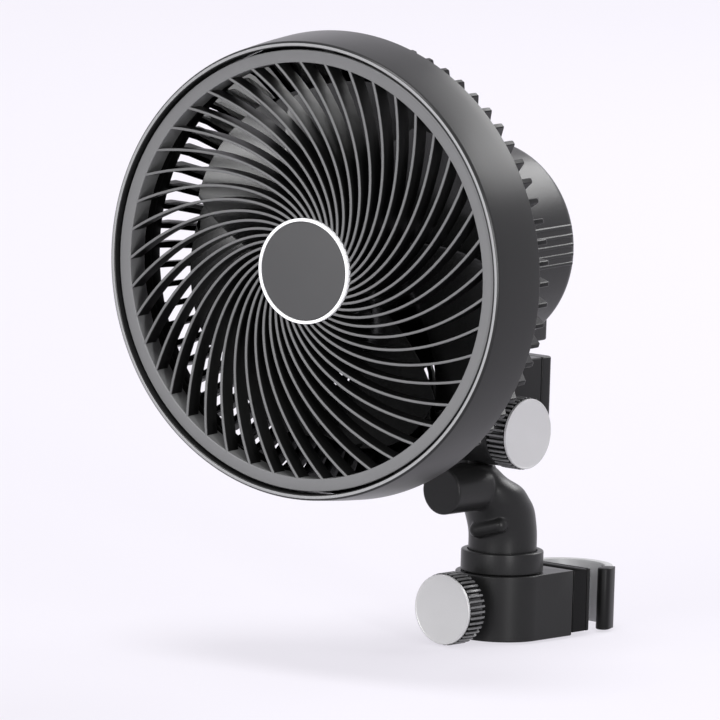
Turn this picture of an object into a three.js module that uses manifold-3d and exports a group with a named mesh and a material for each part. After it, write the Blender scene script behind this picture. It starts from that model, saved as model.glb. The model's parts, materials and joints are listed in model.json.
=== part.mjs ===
// A clip fan: a six inch head that swings and tilts on a short neck, held to an upright pole by a screw clamp.
// Millimetres, +Z up, front of the fan towards -Y. The origin is the middle of the largest pole in the clamp.
import * as THREE from "three";
import { mergeVertices } from "three/addons/utils/BufferGeometryUtils.js";
import Module from "manifold-3d";

const wasm = await Module();
wasm.setup();

// ---------------------------------------------------------------- driving dimensions

const seat = 0.3; // gap left between two pieces that touch
const running = 0.5; // clearance round anything that turns or slides

// Sides that a round thing is given
const large = 54;
const medium = 28;
const small = 16;
const tiny = 8;

// Screws
const screwHeadRadius = 2.8;
const screwHeadThick = 1.6;
const screwShankRadius = 1.4;

// Head, along the fan axis. Depths are measured back from the flat front ring.
const ringInner = 87;
const ringOuter = 92.3;
const ringThick = 2.4;
const skirtThick = 1.8;
const skirtDepth = 11;
const vaneCount = 45;
const vaneThick = 1.3;
const vaneDepth = 8.5;
const vaneSweep = 64; // degrees that one vane turns from the hub to the ring
const vaneStart = 4; // degrees from the top to the root of the first vane
const hubRadius = 22.6;
const hubDepth = 9;
const badgeRadius = 20.6;
const badgeRim = 1.5;
const badgeProud = 1.3;
const badgeSink = 1.2; // depth of the seat of the badge in the hub
const ringGroove = 1.3; // gap between the ring and the lip of the shroud
const lipWall = 2.4;
const lipProud = 2;
const lipEdge = 0.8;
const shroudWall = 2.2;
const shroudFlare = 2.6; // how much wider the shroud is at its back edge
const shroudDepth = 27;

const lipInner = ringOuter + ringGroove;
const lipRadius = lipInner + lipWall;
const shroudBackInner = lipRadius + shroudFlare - shroudWall;

// Rear grille
const ribCount = 68;
const ribThick = 2.2;
const ribDeep = 4;
const ribInset = 1.1; // the ribs stand this far inside the back edge of the shroud
const kneeStep = 12.3; // depth from the shroud to the knee of a rib
const midRingRadius = 82;
const midRingStep = 12.7;
const hubPlateRadius = 50;
const hubPlateStep = 8;
const plateThick = 3;

const kneeRadius = shroudBackInner - ribInset;
const kneeDepth = shroudDepth + kneeStep;
const midRingDepth = kneeDepth + midRingStep;
const hubPlateDepth = midRingDepth + hubPlateStep;

// Impeller
const bladeCount = 7;
const bladeTip = 78;
const bladeThick = 2;
const bladeGap = 6; // from the skirt of the front grille to the front edge of the blades
const bladeDepth = 27;
const impellerHub = 24;
const hubWall = 2.4;
const bossRim = 8; // radius of the boss that sits on the motor shaft
const nutRadius = 7;
const nutLength = 5;
const shaftProud = 2.5; // how far the motor shaft stands out of the boss

const bladeFront = skirtDepth + bladeGap;
const bladeBack = bladeFront + bladeDepth;
const hubFront = bladeFront - 2;

// Motor and motor cover
const coverRadius = 44.5;
const coverWall = 2.4;
const coverRound = 6;
const gripCount = 5;
const gripPitch = 4;
const gripProud = 0.8;
const gripWidth = 2;
const gripLength = 46;
const gripMiddleHeight = 3; // above the fan axis
const motorRadius = 31;
const motorGap = 6; // from the plate of the rear grille to the motor
const motorLength = 44;
const bellThick = 3.5;
const canWall = 2;
const bearingSeat = 2; // wall round a bearing
const motorScrewRing = 22;
const statorInner = 17.5;
const statorDepth = 24;
const statorYoke = 3.5;
const slotWidth = 6.8;
const coilProud = 3.5;
const toothCount = 9;
const magnetRadius = 16.5;
const shaftRadius = 3;
const shaftShoulder = 1.5;
const bearingRadius = 8;
const bearingWidth = 5;
const boardRadius = 36;
const boardThick = 1.6;
const boardGap = 12; // from the motor to the control board
const boardRoom = 24; // from the control board to the back of the motor cover
const glandRadius = 5;
const glandFlange = 1.6;
const glandBore = 2.2;
const glandLength = 9;
const glandHeight = 24; // above the fan axis

const motorFront = hubPlateDepth + motorGap;
const motorBack = motorFront + motorLength;
const boardDepth = motorBack + boardGap;
const coverBack = boardDepth + boardRoom;
const coverInside = coverBack - coverWall;

// Neck and swing gearbox. Heights are measured up from the top of the clamp block.
const fanAxisHeight = 144.1;
const swingAxisY = -5.4; // from the axis of the stem
const restYaw = 8.3; // degrees that the head looks to the side at rest
const boxHalfWidth = 16.2;
const boxWall = 2.2;
const boxBottom = 61.4;
const boxTop = 94;
const boxFront = -21;
const boxBack = 10.8;
const boxSplit = 3; // where the back cover of the gearbox starts
const boxCorner = 3;
const boxTower = 2.7; // radius of the posts that take the screws
const boxScrewReach = 8;
const neckGap = 7; // between the gearbox and the neck
const neckBelowAxis = 5.8; // from the fan axis down to the top of the neck
const neckDepth = 24.4;
const neckWall = 3;
const neckFloor = 11;
const neckScrewX = 10;
const neckScrewZ = -20; // from the fan axis
const neckScrewReach = 10;
const neckTower = 3.2;
const pivotRadius = 12;
const washerThick = 0.8;
const pinRadius = 3.6; // the upright swing shaft
const pinBore = 1.8;
const pinRise = 9; // how far the swing shaft reaches into the neck
const bushWall = 1.2;
const lowBushLength = 4.3;
const clipThick = 0.8;
const pinionTeeth = 10;
const gearRatio = 2;
const gearWidth = 4;
const gearDrop = 2.6; // from the roof of the gearbox down to the gears
const gearMotorWidth = 12;
const gearMotorDepth = 8;
const pinionLift = 1.2; // from the swing motor up to its pinion

const neckBottom = boxTop + neckGap;
const neckTop = fanAxisHeight - neckBelowAxis;
const swingAxisDepth = coverBack + seat + neckDepth / 2; // from the front ring back to the swing axis
const gearLow = boxTop - boxWall - gearDrop - gearWidth;
const gearMotorY = boxBack - boxWall - gearMotorDepth / 2 - 3 * seat;
const gearMotorLow = boxBottom + boxWall + seat;
const gearMotorTop = gearLow - pinionLift;
const pinionRadius = (gearMotorY - swingAxisY) / (1 + gearRatio);
const swingGearRadius = gearRatio * pinionRadius;

// Tilt joint
const tiltY = -18.2;
const tiltHeight = 63.9;
const barrelRadius = 15.2;
const earSplit = -6; // the ear of the elbow lies to the left of this plane
const earLeft = -16;
const frictionRadius = 13;
const frictionThick = 1;
const boltRadius = 3;
const boltHeadRadius = 6;
const boltHeadThick = 3.5;

const tiltAxis = [tiltY, tiltHeight];
const barrelFloor = tiltHeight + barrelRadius + boxWall;

// Knobs
const knobRadius = 15.6;
const knobRoot = 14.6;
const knobThick = 9.2;
const knobTeeth = 40;
const knobHub = 8;
const knobFoot = 0.2; // how far the hub stands out at the back
const knobFace = 3; // thickness left in front of the bore
const capRadius = 15.1;
const capThick = 1.2;

// Elbow
const tubeRadius = 14.8;
const tubeStraight = 17;
const columnRadius = 7.8;
const columnLow = 30;
const sweepTop = 45; // where the swept part of the elbow ends
const bossRadius = 10.4;
const bossHeight = 38.3;
const bossFront = -42.4;
const webLow = 43;
const webHigh = 52;
const lugLength = 18;
const lugRadius = 3.6;
const lugHeight = 20.5;
const lugSlope = 16; // degrees that the lug rises to the right
const lugTurn = 15; // degrees that it stands to the right of the front

// Clamp
const stemToPole = 45;
const screwDrop = 13.3; // from the top of the clamp block down to its screw
const blockRadius = 20;
const blockHeight = 28.4;
const blockBack = 24.7;
const blockWall = 3.5;
const hookHeight = 26.6;
const hookDrop = 1.4; // from the top of the clamp block down to the hook
const jawHeight = 27.2;
const baseThick = 3;
const collarRadius = 17.8;
const collarHeight = 9.4;
const flangeRadius = 16.4;
const flangeThick = 2.6;
const hookWall = 4;
const hookInner = 15.5;
const hookEnd = 35; // degrees round the pole where the bare hook ends
const tipEnd = 14; // degrees where its rubber tip ends
const tipThick = 6;
const tipDrop = 0.3;
const tongueEnd = 22; // degrees where the tongue inside the tip ends
const tongueThick = 2;
const hookRoot = 8; // where the arm of the hook starts, from the stem axis
const hookPad = 3; // wall of the block behind the arm of the hook
const jawThick = 8.8;
const padThick = 2;
const jawTravel = 8;
const screwRadius = 4;
const buttonRim = 1.5; // how far the end of the screw is wider than the screw
const insertRadius = 6.5;
const insertEnd = -5;
const sunk = 0.4; // how far the heads of the clamp's screws lie under the surface

const armInner = -hookInner; // face of the block that the arm of the hook lies on
const hookOuter = hookInner + hookWall;
const hookBottom = -hookDrop - hookHeight;
const knobBack = -blockRadius - jawTravel - running;
const washerLow = -flangeThick - washerThick - 1.5 * seat;

// ---------------------------------------------------------------- finishes

const finish = (color, roughness, metalness = 0) => new THREE.MeshStandardMaterial({ color, roughness, metalness });
const charcoal = finish(0x3a3b3d, 0.45);
const black = finish(0x161617, 0.4);
const ringGrey = finish(0x747577, 0.6);
const badgeGrey = finish(0x5b5b5c, 0.55);
const badgeWhite = finish(0xf4f4f4, 0.5);
const silver = finish(0xcfd0d2, 0.35, 0.5);
const hookGrey = finish(0x8f9092, 0.5, 0.3);
const rubber = finish(0x111112, 0.85);
const steel = finish(0xb9bbbe, 0.3, 1);
const copper = finish(0xb5673a, 0.4, 1);
const magnet = finish(0x37383c, 0.5, 0.4);
const board = finish(0x1f5a38, 0.6);
const nylon = finish(0xdfdcd2, 0.5);

// ---------------------------------------------------------------- building helpers

const radians = THREE.MathUtils.degToRad;

// The corners of a list of triangles, three in a row, as a solid.
function fromTriangles(vertProperties, triangles) {
  const triVerts = new Uint32Array(triangles);
  return new wasm.Manifold(new wasm.Mesh({ numProp: 3, vertProperties, triVerts }));
}

// A closed three.js geometry as a solid, turned right side out, without triangles that shrink to a line.
function solid(geometry) {
  const plain = geometry.clone();
  plain.deleteAttribute("normal");
  plain.deleteAttribute("uv");
  const merged = mergeVertices(plain, 1e-4);
  const corners = merged.index.array;
  const kept = [];
  for (let i = 0; i < corners.length; i += 3) {
    const [a, b, c] = [corners[i], corners[i + 1], corners[i + 2]];
    if (a !== b && b !== c && c !== a) kept.push(a, b, c);
  }
  const points = merged.attributes.position.array;
  const made = fromTriangles(points, kept);
  return made.volume() >= 0 ? made : fromTriangles(points, kept.toReversed());
}

const join = (...bodies) => bodies.reduce((all, body) => all.add(body));
const cut = (body, ...tools) => tools.reduce((left, tool) => left.subtract(tool), body);
const turn = (body, x, y, z) => body.rotate([x, y, z]);
const move = (body, x, y, z) => body.translate([x, y, z]);
const toX = (body) => turn(body, 0, 90, 0);
const toFront = (body) => turn(body, 90, 0, 0);

// Copies of a body in equal steps round the Y axis.
function fan(count, make) {
  const copies = Array.from({ length: count }, (_, i) => turn(make(i), 0, (360 * i) / count, 0));
  return join(...copies);
}

// The two coordinates of a spot on a circle.
function around(radius, degrees) {
  const angle = radians(degrees);
  return [radius * Math.cos(angle), radius * Math.sin(angle)];
}

// Turns a geometry whose own axis is Y so that it runs along the named axis.
function along(axis, geometry) {
  if (axis === "x") geometry.rotateZ(-Math.PI / 2);
  if (axis === "z") geometry.rotateX(Math.PI / 2);
  return geometry;
}

// A rod along an axis from one coordinate to another, centred on the two other coordinates in x, y, z order.
function rod(axis, radius, from, to, [p, q] = [0, 0], sides = small) {
  const geometry = along(axis, new THREE.CylinderGeometry(radius, radius, to - from, sides));
  const middle = (from + to) / 2;
  const place = { x: [middle, p, q], y: [p, middle, q], z: [p, q, middle] }[axis];
  return solid(geometry.translate(...place));
}

// A solid of revolution about an axis. The profile lists [radius, place along the axis].
function turned(axis, profile, sides = medium) {
  const onAxis = profile[0][0] === 0 && profile.at(-1)[0] === 0;
  const loop = onAxis ? profile : [...profile, profile[0]];
  const points = loop.map(([radius, place]) => new THREE.Vector2(radius, place));
  return solid(along(axis, new THREE.LatheGeometry(points, sides)));
}

function tube(axis, inner, outer, from, to, sides = small) {
  return turned(axis, [[inner, from], [outer, from], [outer, to], [inner, to]], sides);
}

function block(x0, x1, y0, y1, z0, z1) {
  const geometry = new THREE.BoxGeometry(x1 - x0, y1 - y0, z1 - z0);
  return solid(geometry.translate((x0 + x1) / 2, (y0 + y1) / 2, (z0 + z1) / 2));
}

// A flat outline in the XY plane, raised from z0 to z1.
function raised(shape, z0, z1, curveSegments = tiny) {
  const geometry = new THREE.ExtrudeGeometry(shape, { depth: z1 - z0, bevelEnabled: false, curveSegments });
  return solid(geometry.translate(0, 0, z0));
}

// A rectangle in plan with round upright corners.
function roundedBox(x0, x1, y0, y1, z0, z1, corner) {
  const shape = new THREE.Shape();
  shape.moveTo(x0 + corner, y0);
  shape.lineTo(x1 - corner, y0);
  shape.absarc(x1 - corner, y0 + corner, corner, -Math.PI / 2, 0);
  shape.lineTo(x1, y1 - corner);
  shape.absarc(x1 - corner, y1 - corner, corner, 0, Math.PI / 2);
  shape.lineTo(x0 + corner, y1);
  shape.absarc(x0 + corner, y1 - corner, corner, Math.PI / 2, Math.PI);
  shape.lineTo(x0, y0 + corner);
  shape.absarc(x0 + corner, y0 + corner, corner, Math.PI, 1.5 * Math.PI);
  return raised(shape, z0, z1, 4);
}

// A toothed disc whose axis is Z: the outline runs between the root and the tip of each tooth.
function toothed(tip, root, teeth, z0, z1, start = 0) {
  const outline = [];
  for (let i = 0; i < 2 * teeth; i++) {
    const radius = i % 2 ? root : tip;
    const angle = start + (i * Math.PI) / teeth;
    outline.push(new THREE.Vector2(radius * Math.cos(angle), radius * Math.sin(angle)));
  }
  return raised(new THREE.Shape(outline), z0, z1);
}

// A screw along an axis: a pan head at `top`, its shank running on to `tip`.
function screw(axis, top, tip, place) {
  const way = Math.sign(tip - top);
  const under = top + way * screwHeadThick;
  const pan = rod(axis, screwHeadRadius, Math.min(top, under), Math.max(top, under), place, tiny);
  const shank = rod(axis, screwShankRadius, Math.min(top, tip), Math.max(top, tip), place, 6);
  return join(pan, shank);
}

// The clearance hole for such a screw. Its sink is open for the length `open` above the head.
function screwHole(axis, top, tip, place, open = 30) {
  const way = Math.sign(tip - top);
  const under = top + way * (screwHeadThick + seat);
  const outside = top - way * open;
  const deep = tip + way * seat;
  const sinkEnds = [Math.min(outside, under), Math.max(outside, under)];
  const sink = rod(axis, screwHeadRadius + seat, ...sinkEnds, place, tiny);
  const drill = rod(axis, screwShankRadius + seat, Math.min(top, deep), Math.max(top, deep), place, 6);
  return join(sink, drill);
}

// Adds one named piece to a group.
function piece(group, name, body, material) {
  const { vertProperties, triVerts } = body.getMesh();
  const geometry = new THREE.BufferGeometry();
  geometry.setAttribute("position", new THREE.BufferAttribute(new Float32Array(vertProperties), 3));
  geometry.setIndex(new THREE.BufferAttribute(new Uint32Array(triVerts), 1));
  geometry.computeVertexNormals();
  const mesh = new THREE.Mesh(geometry, material);
  mesh.name = name;
  group.add(mesh);
}

// ---------------------------------------------------------------- head
// Built with the fan axis along Y, the flat front ring at y = 0 and the back towards +Y.

const motorScrewPlaces = [30, 150, 270].map((degrees) => around(motorScrewRing, degrees));
const motorScrewTop = hubPlateDepth - plateThick + 1;
const motorScrewTip = motorFront + 4;
const motorScrewHole = (place) => screwHole("y", motorScrewTop, motorScrewTip, place);
const neckScrewPlaces = [[-neckScrewX, neckScrewZ], [neckScrewX, neckScrewZ]];
const neckScrewTip = coverBack - neckScrewReach;
const neckScrewTop = coverBack + seat + neckWall + screwHeadThick; // its head rests on a pad of the neck

// One guard vane: a thin strip on a spiral whose angle grows with the logarithm of the radius.
function guardVane(index) {
  const from = hubRadius - 1;
  const to = ringInner + skirtThick / 2;
  const steps = 4;
  const rate = radians(vaneSweep) / Math.log(to / from);
  const side = (sign) => (_, i) => {
    const radius = from * (to / from) ** (i / steps);
    const angle = Math.PI / 2 + rate * Math.log(radius / from);
    const half = (sign * vaneThick * Math.hypot(1, rate)) / 2 / radius;
    return new THREE.Vector2(radius * Math.cos(angle + half), radius * Math.sin(angle + half));
  };
  const grid = Array.from({ length: steps + 1 });
  const outline = [...grid.map(side(-1)), ...grid.map(side(1)).toReversed()];
  const strip = toFront(raised(new THREE.Shape(outline), -vaneDepth, 0));
  return turn(strip, 0, vaneStart + (360 * index) / vaneCount, 0);
}

function frontGrille() {
  const skirtOuter = ringInner + skirtThick;
  const ring = turned("y", [
    [ringInner, 0],
    [ringOuter, 0],
    [ringOuter, ringThick],
    [skirtOuter, ringThick],
    [skirtOuter, skirtDepth],
    [ringInner, skirtDepth],
  ], large);
  const hub = rod("y", hubRadius, 0, hubDepth, [0, 0], medium);
  const badgeSeat = rod("y", badgeRadius + badgeRim + seat, -1, badgeSink, [0, 0], medium);
  const vanes = Array.from({ length: vaneCount }, (_, i) => guardVane(i));
  return cut(join(ring, hub, ...vanes), badgeSeat);
}

function shroud() {
  return turned("y", [
    [lipInner, -lipProud],
    [lipRadius - lipEdge, -lipProud],
    [lipRadius, -lipProud + lipEdge],
    [lipRadius + shroudFlare, shroudDepth],
    [shroudBackInner, shroudDepth],
    [lipInner, ringThick + 1],
  ], large);
}

function badgePieces(group) {
  const back = badgeSink - seat;
  const disc = rod("y", badgeRadius, seat - badgeProud, back, [0, 0], medium);
  const rim = tube("y", badgeRadius + seat, badgeRadius + badgeRim, -badgeProud, back, medium);
  piece(group, "badge_disc", disc, badgeGrey);
  piece(group, "badge_ring", rim, badgeWhite);
}

// One rib of the rear grille, drawn as [radius, depth] and made as thick as the rib.
function rearRib() {
  const front = shroudDepth + 2 * seat;
  const foot = hubPlateRadius - 1;
  const slim = 0.4; // the foot of a rib is a little thinner than the plate
  const outer = [
    [kneeRadius, front],
    [kneeRadius, kneeDepth],
    [midRingRadius, midRingDepth],
    [foot, hubPlateDepth - slim],
  ];
  const inner = [
    [foot, hubPlateDepth - plateThick + slim],
    [midRingRadius - 1.4, midRingDepth - ribDeep],
    [kneeRadius - ribDeep, kneeDepth - ribDeep / 2],
    [kneeRadius - ribDeep, front],
  ];
  const outline = [...outer, ...inner].map(([radius, depth]) => new THREE.Vector2(radius, depth));
  return raised(new THREE.Shape(outline), -ribThick / 2, ribThick / 2);
}

function rearGrille() {
  const sides = ribCount / 2;
  const between = 180 / ribCount; // the corners of the rings fall between two ribs
  const ring = (inner, outer, from, to) => turn(tube("y", inner, outer, from, to, sides), 0, between, 0);
  const edgeRing = ring(kneeRadius - ribDeep - 0.4, kneeRadius + 0.3, shroudDepth - 5, shroudDepth + 1.6);
  const midRing = ring(midRingRadius - 4, midRingRadius - 1.8, midRingDepth - ribDeep - 0.8, midRingDepth - 1.6);
  const plate = ring(2 * shaftRadius + 3, hubPlateRadius, hubPlateDepth - plateThick, hubPlateDepth);
  const body = join(fan(ribCount, rearRib), edgeRing, midRing, plate);
  return cut(body, ...motorScrewPlaces.map(motorScrewHole));
}

// ---------------------------------------------------------------- impeller and motor

// One blade: a thin plate from hub to tip with a round outline, pitched steeply at the hub and flatter at the tip.
function blade() {
  const geometry = new THREE.BoxGeometry(1, 1, 1, 8, 5, 1);
  const spot = geometry.attributes.position;
  const root = impellerHub - 1.5;
  const middle = (bladeFront + bladeBack) / 2;
  for (let i = 0; i < spot.count; i++) {
    const across = spot.getX(i) + 0.5; // 0 at the hub, 1 at the tip
    const chord = spot.getY(i); // -0.5 on the leading edge, 0.5 on the trailing edge
    const radius = root + (bladeTip - root) * across * (1 - 0.1 * (2 * chord) ** 2 * across);
    const angle = chord * radians(44 + 10 * across) + radians(24) * across;
    const rise = bladeDepth * (1 - 0.42 * across);
    const depth = middle + chord * rise + spot.getZ(i) * bladeThick;
    spot.setXYZ(i, radius * Math.cos(angle), depth, -radius * Math.sin(angle));
  }
  return solid(geometry);
}

function impeller() {
  const inside = impellerHub - hubWall;
  const bore = shaftRadius + seat + 0.1;
  const shoulder = bladeFront + 4;
  const skirtBack = bladeBack + 2;
  const bossBack = bladeBack - 8;
  const hub = turned("y", [
    [bore, hubFront],
    [impellerHub - 6, hubFront],
    [impellerHub, shoulder],
    [impellerHub, skirtBack],
    [inside, skirtBack],
    [inside, shoulder],
    [bossRim, bladeFront + 1.5],
    [bossRim, bossBack],
    [bore, bossBack],
  ], 24);
  const hollow = rod("y", inside, shoulder + 1, skirtBack + 1, [0, 0], 24);
  return join(hub, cut(fan(bladeCount, blade), hollow));
}

// The two halves of the motor case. Each is drawn from its outer face towards the middle of the motor.
function motorBells(group) {
  const bore = bearingRadius + seat;
  const passage = shaftRadius + running;
  const bell = (outside, way) => {
    const inside = outside + way * bellThick;
    const edge = outside + way * motorLength / 2;
    return turned("y", [
      [passage, outside],
      [motorRadius, outside],
      [motorRadius, edge],
      [motorRadius - canWall, edge],
      [motorRadius - canWall, inside],
      [bore + bearingSeat, inside],
      [bore + bearingSeat, inside + way * (bearingWidth - 1)],
      [bore, inside + way * (bearingWidth - 1)],
      [bore, inside - way],
      [passage, inside - way],
    ], 24);
  };
  const parting = rod("y", motorRadius + 1, motorFront, motorFront + motorLength / 2 + seat, [0, 0], 24);
  const front = cut(bell(motorFront, 1), ...motorScrewPlaces.map(motorScrewHole));
  piece(group, "motor_front_bell", front, steel);
  piece(group, "motor_rear_bell", cut(bell(motorBack, -1), parting), steel);
}

// The laminated stator: a ring with inward teeth, and the coils that fill the slots and stand out at both ends.
function stator(group) {
  const middle = (motorFront + motorBack) / 2;
  const [from, to] = [middle - statorDepth / 2, middle + statorDepth / 2];
  const outer = motorRadius - canWall - seat;
  const half = slotWidth / 2;
  const slot = block(statorInner - 1, outer - statorYoke, from - 1, to + 1, -half, half);
  const core = cut(tube("y", statorInner, outer, from, to, medium), fan(toothCount, () => slot));
  piece(group, "stator_core", core, magnet);
  const inner = statorInner + 1.5;
  const barOuter = outer - statorYoke - seat;
  const bar = block(inner, barOuter, from - 2, to + 2, seat - half, half - seat);
  const bundle = (a, b) => tube("y", inner, barOuter - 0.2, a, b, 18);
  const frontBundle = bundle(from - coilProud, from - seat);
  const backBundle = bundle(to + seat, to + coilProud);
  piece(group, "field_coils", join(frontBundle, backBundle, fan(toothCount, () => bar)), copper);
}

function rotor(group) {
  const middle = (motorFront + motorBack) / 2;
  const half = statorDepth / 2;
  const sink = bellThick - 0.7; // from the outer face of the motor case to a bearing
  const bearingAt = [motorFront + sink, motorBack - sink - bearingWidth];
  const shaftTip = hubFront - shaftProud;
  const shaftBack = motorBack + 2;
  const step = shaftRadius + shaftShoulder;
  const shaft = turned("y", [
    [0, shaftTip],
    [shaftRadius, shaftTip],
    [shaftRadius, bearingAt[0] + bearingWidth + seat],
    [step, bearingAt[0] + bearingWidth + seat],
    [step, bearingAt[1] - seat],
    [shaftRadius, bearingAt[1] - seat],
    [shaftRadius, shaftBack],
    [0, shaftBack],
  ], small);
  piece(group, "motor_shaft", shaft, steel);
  piece(group, "rotor_magnet", tube("y", step + seat, magnetRadius, middle - half, middle + half, 20), magnet);
  const bearing = (front) => tube("y", shaftRadius + seat, bearingRadius, front, front + bearingWidth);
  piece(group, "front_bearing", bearing(bearingAt[0]), steel);
  piece(group, "rear_bearing", bearing(bearingAt[1]), steel);
  piece(group, "impeller", impeller(), black);
  const nutBack = hubFront - seat;
  const nutFront = nutBack - nutLength;
  const nut = turned("y", [
    [shaftRadius + seat, nutBack],
    [nutRadius, nutBack],
    [nutRadius - 1, nutFront + 2],
    [nutRadius - 4, nutFront],
    [0, nutFront],
    [0, shaftTip - seat],
    [shaftRadius + seat, shaftTip - seat],
  ], 12);
  piece(group, "impeller_nut", nut, black);
}

// The motor cover: a cup whose open mouth meets the plate of the rear grille, with grip ridges on both sides.
function motorCover() {
  const front = hubPlateDepth + seat;
  const arc = [0, 45, 90].map((degrees) => {
    const [out, back] = around(coverRound, degrees);
    return [coverRadius - coverRound + out, coverBack - coverRound + back];
  });
  const cup = turned("y", [
    [coverRadius - coverWall, front],
    [coverRadius, front],
    ...arc,
    [0, coverBack],
    [0, coverInside],
    [coverRadius - coverRound, coverInside],
    [coverRadius - coverWall, coverBack - coverRound],
  ], 48);
  const reach = coverRadius + gripProud;
  const skin = tube("y", coverRadius - 1, reach, 0, coverBack, 48);
  const ridgeBack = coverBack - coverRound;
  const ridges = Array.from({ length: gripCount }, (_, i) => {
    const low = gripMiddleHeight + (i - (gripCount - 1) / 2) * gripPitch - gripWidth / 2;
    return block(-reach, reach, ridgeBack - gripLength, ridgeBack, low, low + gripWidth).intersect(skin);
  });
  const gland = rod("y", glandRadius + seat, coverInside - 1, coverBack + 1, [0, glandHeight]);
  const drills = neckScrewPlaces.map((place) => screwHole("y", coverBack + 4, neckScrewTip, place));
  const towers = neckScrewPlaces.map((place) => rod("y", neckTower, neckScrewTip - 4, coverBack - 1, place, tiny));
  return cut(join(cup, ...ridges, ...towers), gland, ...drills);
}

function controlBoard() {
  const plate = rod("y", boardRadius, boardDepth, boardDepth + boardThick, [0, 0], 24);
  const back = boardDepth + boardThick;
  const capacitor = (x, z, radius, tall) => rod("y", radius, back - 0.5, back + tall, [x, z], 12);
  const chip = (x, z, w, h, tall) => block(x - w / 2, x + w / 2, back - 0.5, back + tall, z - h / 2, z + h / 2);
  const parts = [
    capacitor(-14, 14, 5, 13),
    capacitor(0, 18, 4, 11),
    chip(12, 10, 12, 8, 2),
    chip(-10, -6, 9, 9, 1.6),
    chip(10, -8, 14, 10, 5),
  ];
  const posts = [45, 135, 225, 315].map((degrees) => {
    return rod("y", 2.2, motorBack + seat, boardDepth + 0.5, around(motorRadius - 1, degrees), tiny);
  });
  return join(plate, ...parts, ...posts);
}

function cableGland() {
  const front = coverInside - 2;
  const collar = glandRadius + glandFlange;
  return turned("y", [
    [glandBore, front],
    [collar, front],
    [collar, coverInside - seat],
    [glandRadius, coverInside - seat],
    [glandRadius, coverBack + seat],
    [collar, coverBack + seat],
    [collar - 0.4, coverBack + 3],
    [glandRadius - 1.2, front + glandLength],
    [glandBore, front + glandLength],
  ], small).translate([0, 0, glandHeight]);
}

// ---------------------------------------------------------------- neck and swing gearbox

// The neck stands behind the motor cover. It is drawn on the swing axis, with the front of the fan towards -Y.
function neck() {
  const front = coverBack + seat - swingAxisDepth;
  const back = front + neckDepth;
  const wide = boxHalfWidth - neckWall;
  const body = roundedBox(-boxHalfWidth, boxHalfWidth, front, back, neckBottom, neckTop, boxCorner);
  const [roomLow, roomHigh] = [neckBottom + neckFloor, neckTop - neckWall];
  const room = roundedBox(-wide, wide, front - neckWall, back - neckWall, roomLow, roomHigh, boxCorner);
  const pivot = rod("z", pivotRadius, boxTop + washerThick + 2 * seat, neckBottom + 1, [0, 0], medium);
  const bore = rod("z", pinRadius + seat, boxTop - 1, neckBottom + pinRise);
  const pads = neckScrewPlaces.map(([x, z]) => {
    const middle = z + fanAxisHeight;
    return block(x - 4, x + 4, front, front + neckWall - seat, middle - 5, middle + 5);
  });
  const open = neckDepth - 2 * neckWall - screwHeadThick;
  const drills = neckScrewPlaces.map(([x, z]) => {
    const [top, tip] = [neckScrewTop - swingAxisDepth, neckScrewTip - swingAxisDepth];
    return screwHole("y", top, tip, [x, z + fanAxisHeight], open);
  });
  return cut(join(cut(body, room), pivot, ...pads), bore, ...drills);
}

const shaftLow = barrelFloor - lowBushLength;

function neckPieces(group) {
  piece(group, "neck", neck(), charcoal);
  neckScrewPlaces.forEach(([x, z], i) => {
    const [top, tip] = [neckScrewTop - swingAxisDepth, neckScrewTip - swingAxisDepth];
    piece(group, `neck_screw_${i + 1}`, screw("y", top, tip, [x, z + fanAxisHeight]), steel);
  });
  piece(group, "swing_shaft", tube("z", pinBore, pinRadius, shaftLow, neckBottom + pinRise - seat), steel);
  const bore = pinRadius + seat;
  const washer = tube("z", bore, pivotRadius, boxTop + seat, boxTop + seat + washerThick);
  piece(group, "thrust_washer", washer, nylon);
  const [tip, root] = [swingGearRadius - 0.2, swingGearRadius - 1];
  const wheel = toothed(tip, root, gearRatio * pinionTeeth, gearLow, gearLow + gearWidth);
  piece(group, "swing_gear", cut(wheel, rod("z", bore, gearLow - 1, gearLow + gearWidth + 1)), nylon);
  const clip = tube("z", bore, pinRadius + bushWall, gearLow - seat - clipThick, gearLow - seat, 12);
  piece(group, "shaft_clip", clip, steel);
}

const boxInner = boxHalfWidth - boxWall;
const boxFloor = boxBottom + boxWall;
const boxRoof = boxTop - boxWall;
const boxScrewX = boxInner - 1.6;
const boxScrewPlaces = [[-boxScrewX, boxRoof - 2.2], [boxScrewX, boxFloor + 2.2]];
const boxScrewTop = boxBack - 1;
const boxScrewTip = boxSplit - boxScrewReach;
const boxScrewHole = (place) => screwHole("y", boxScrewTop, boxScrewTip, place);

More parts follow.
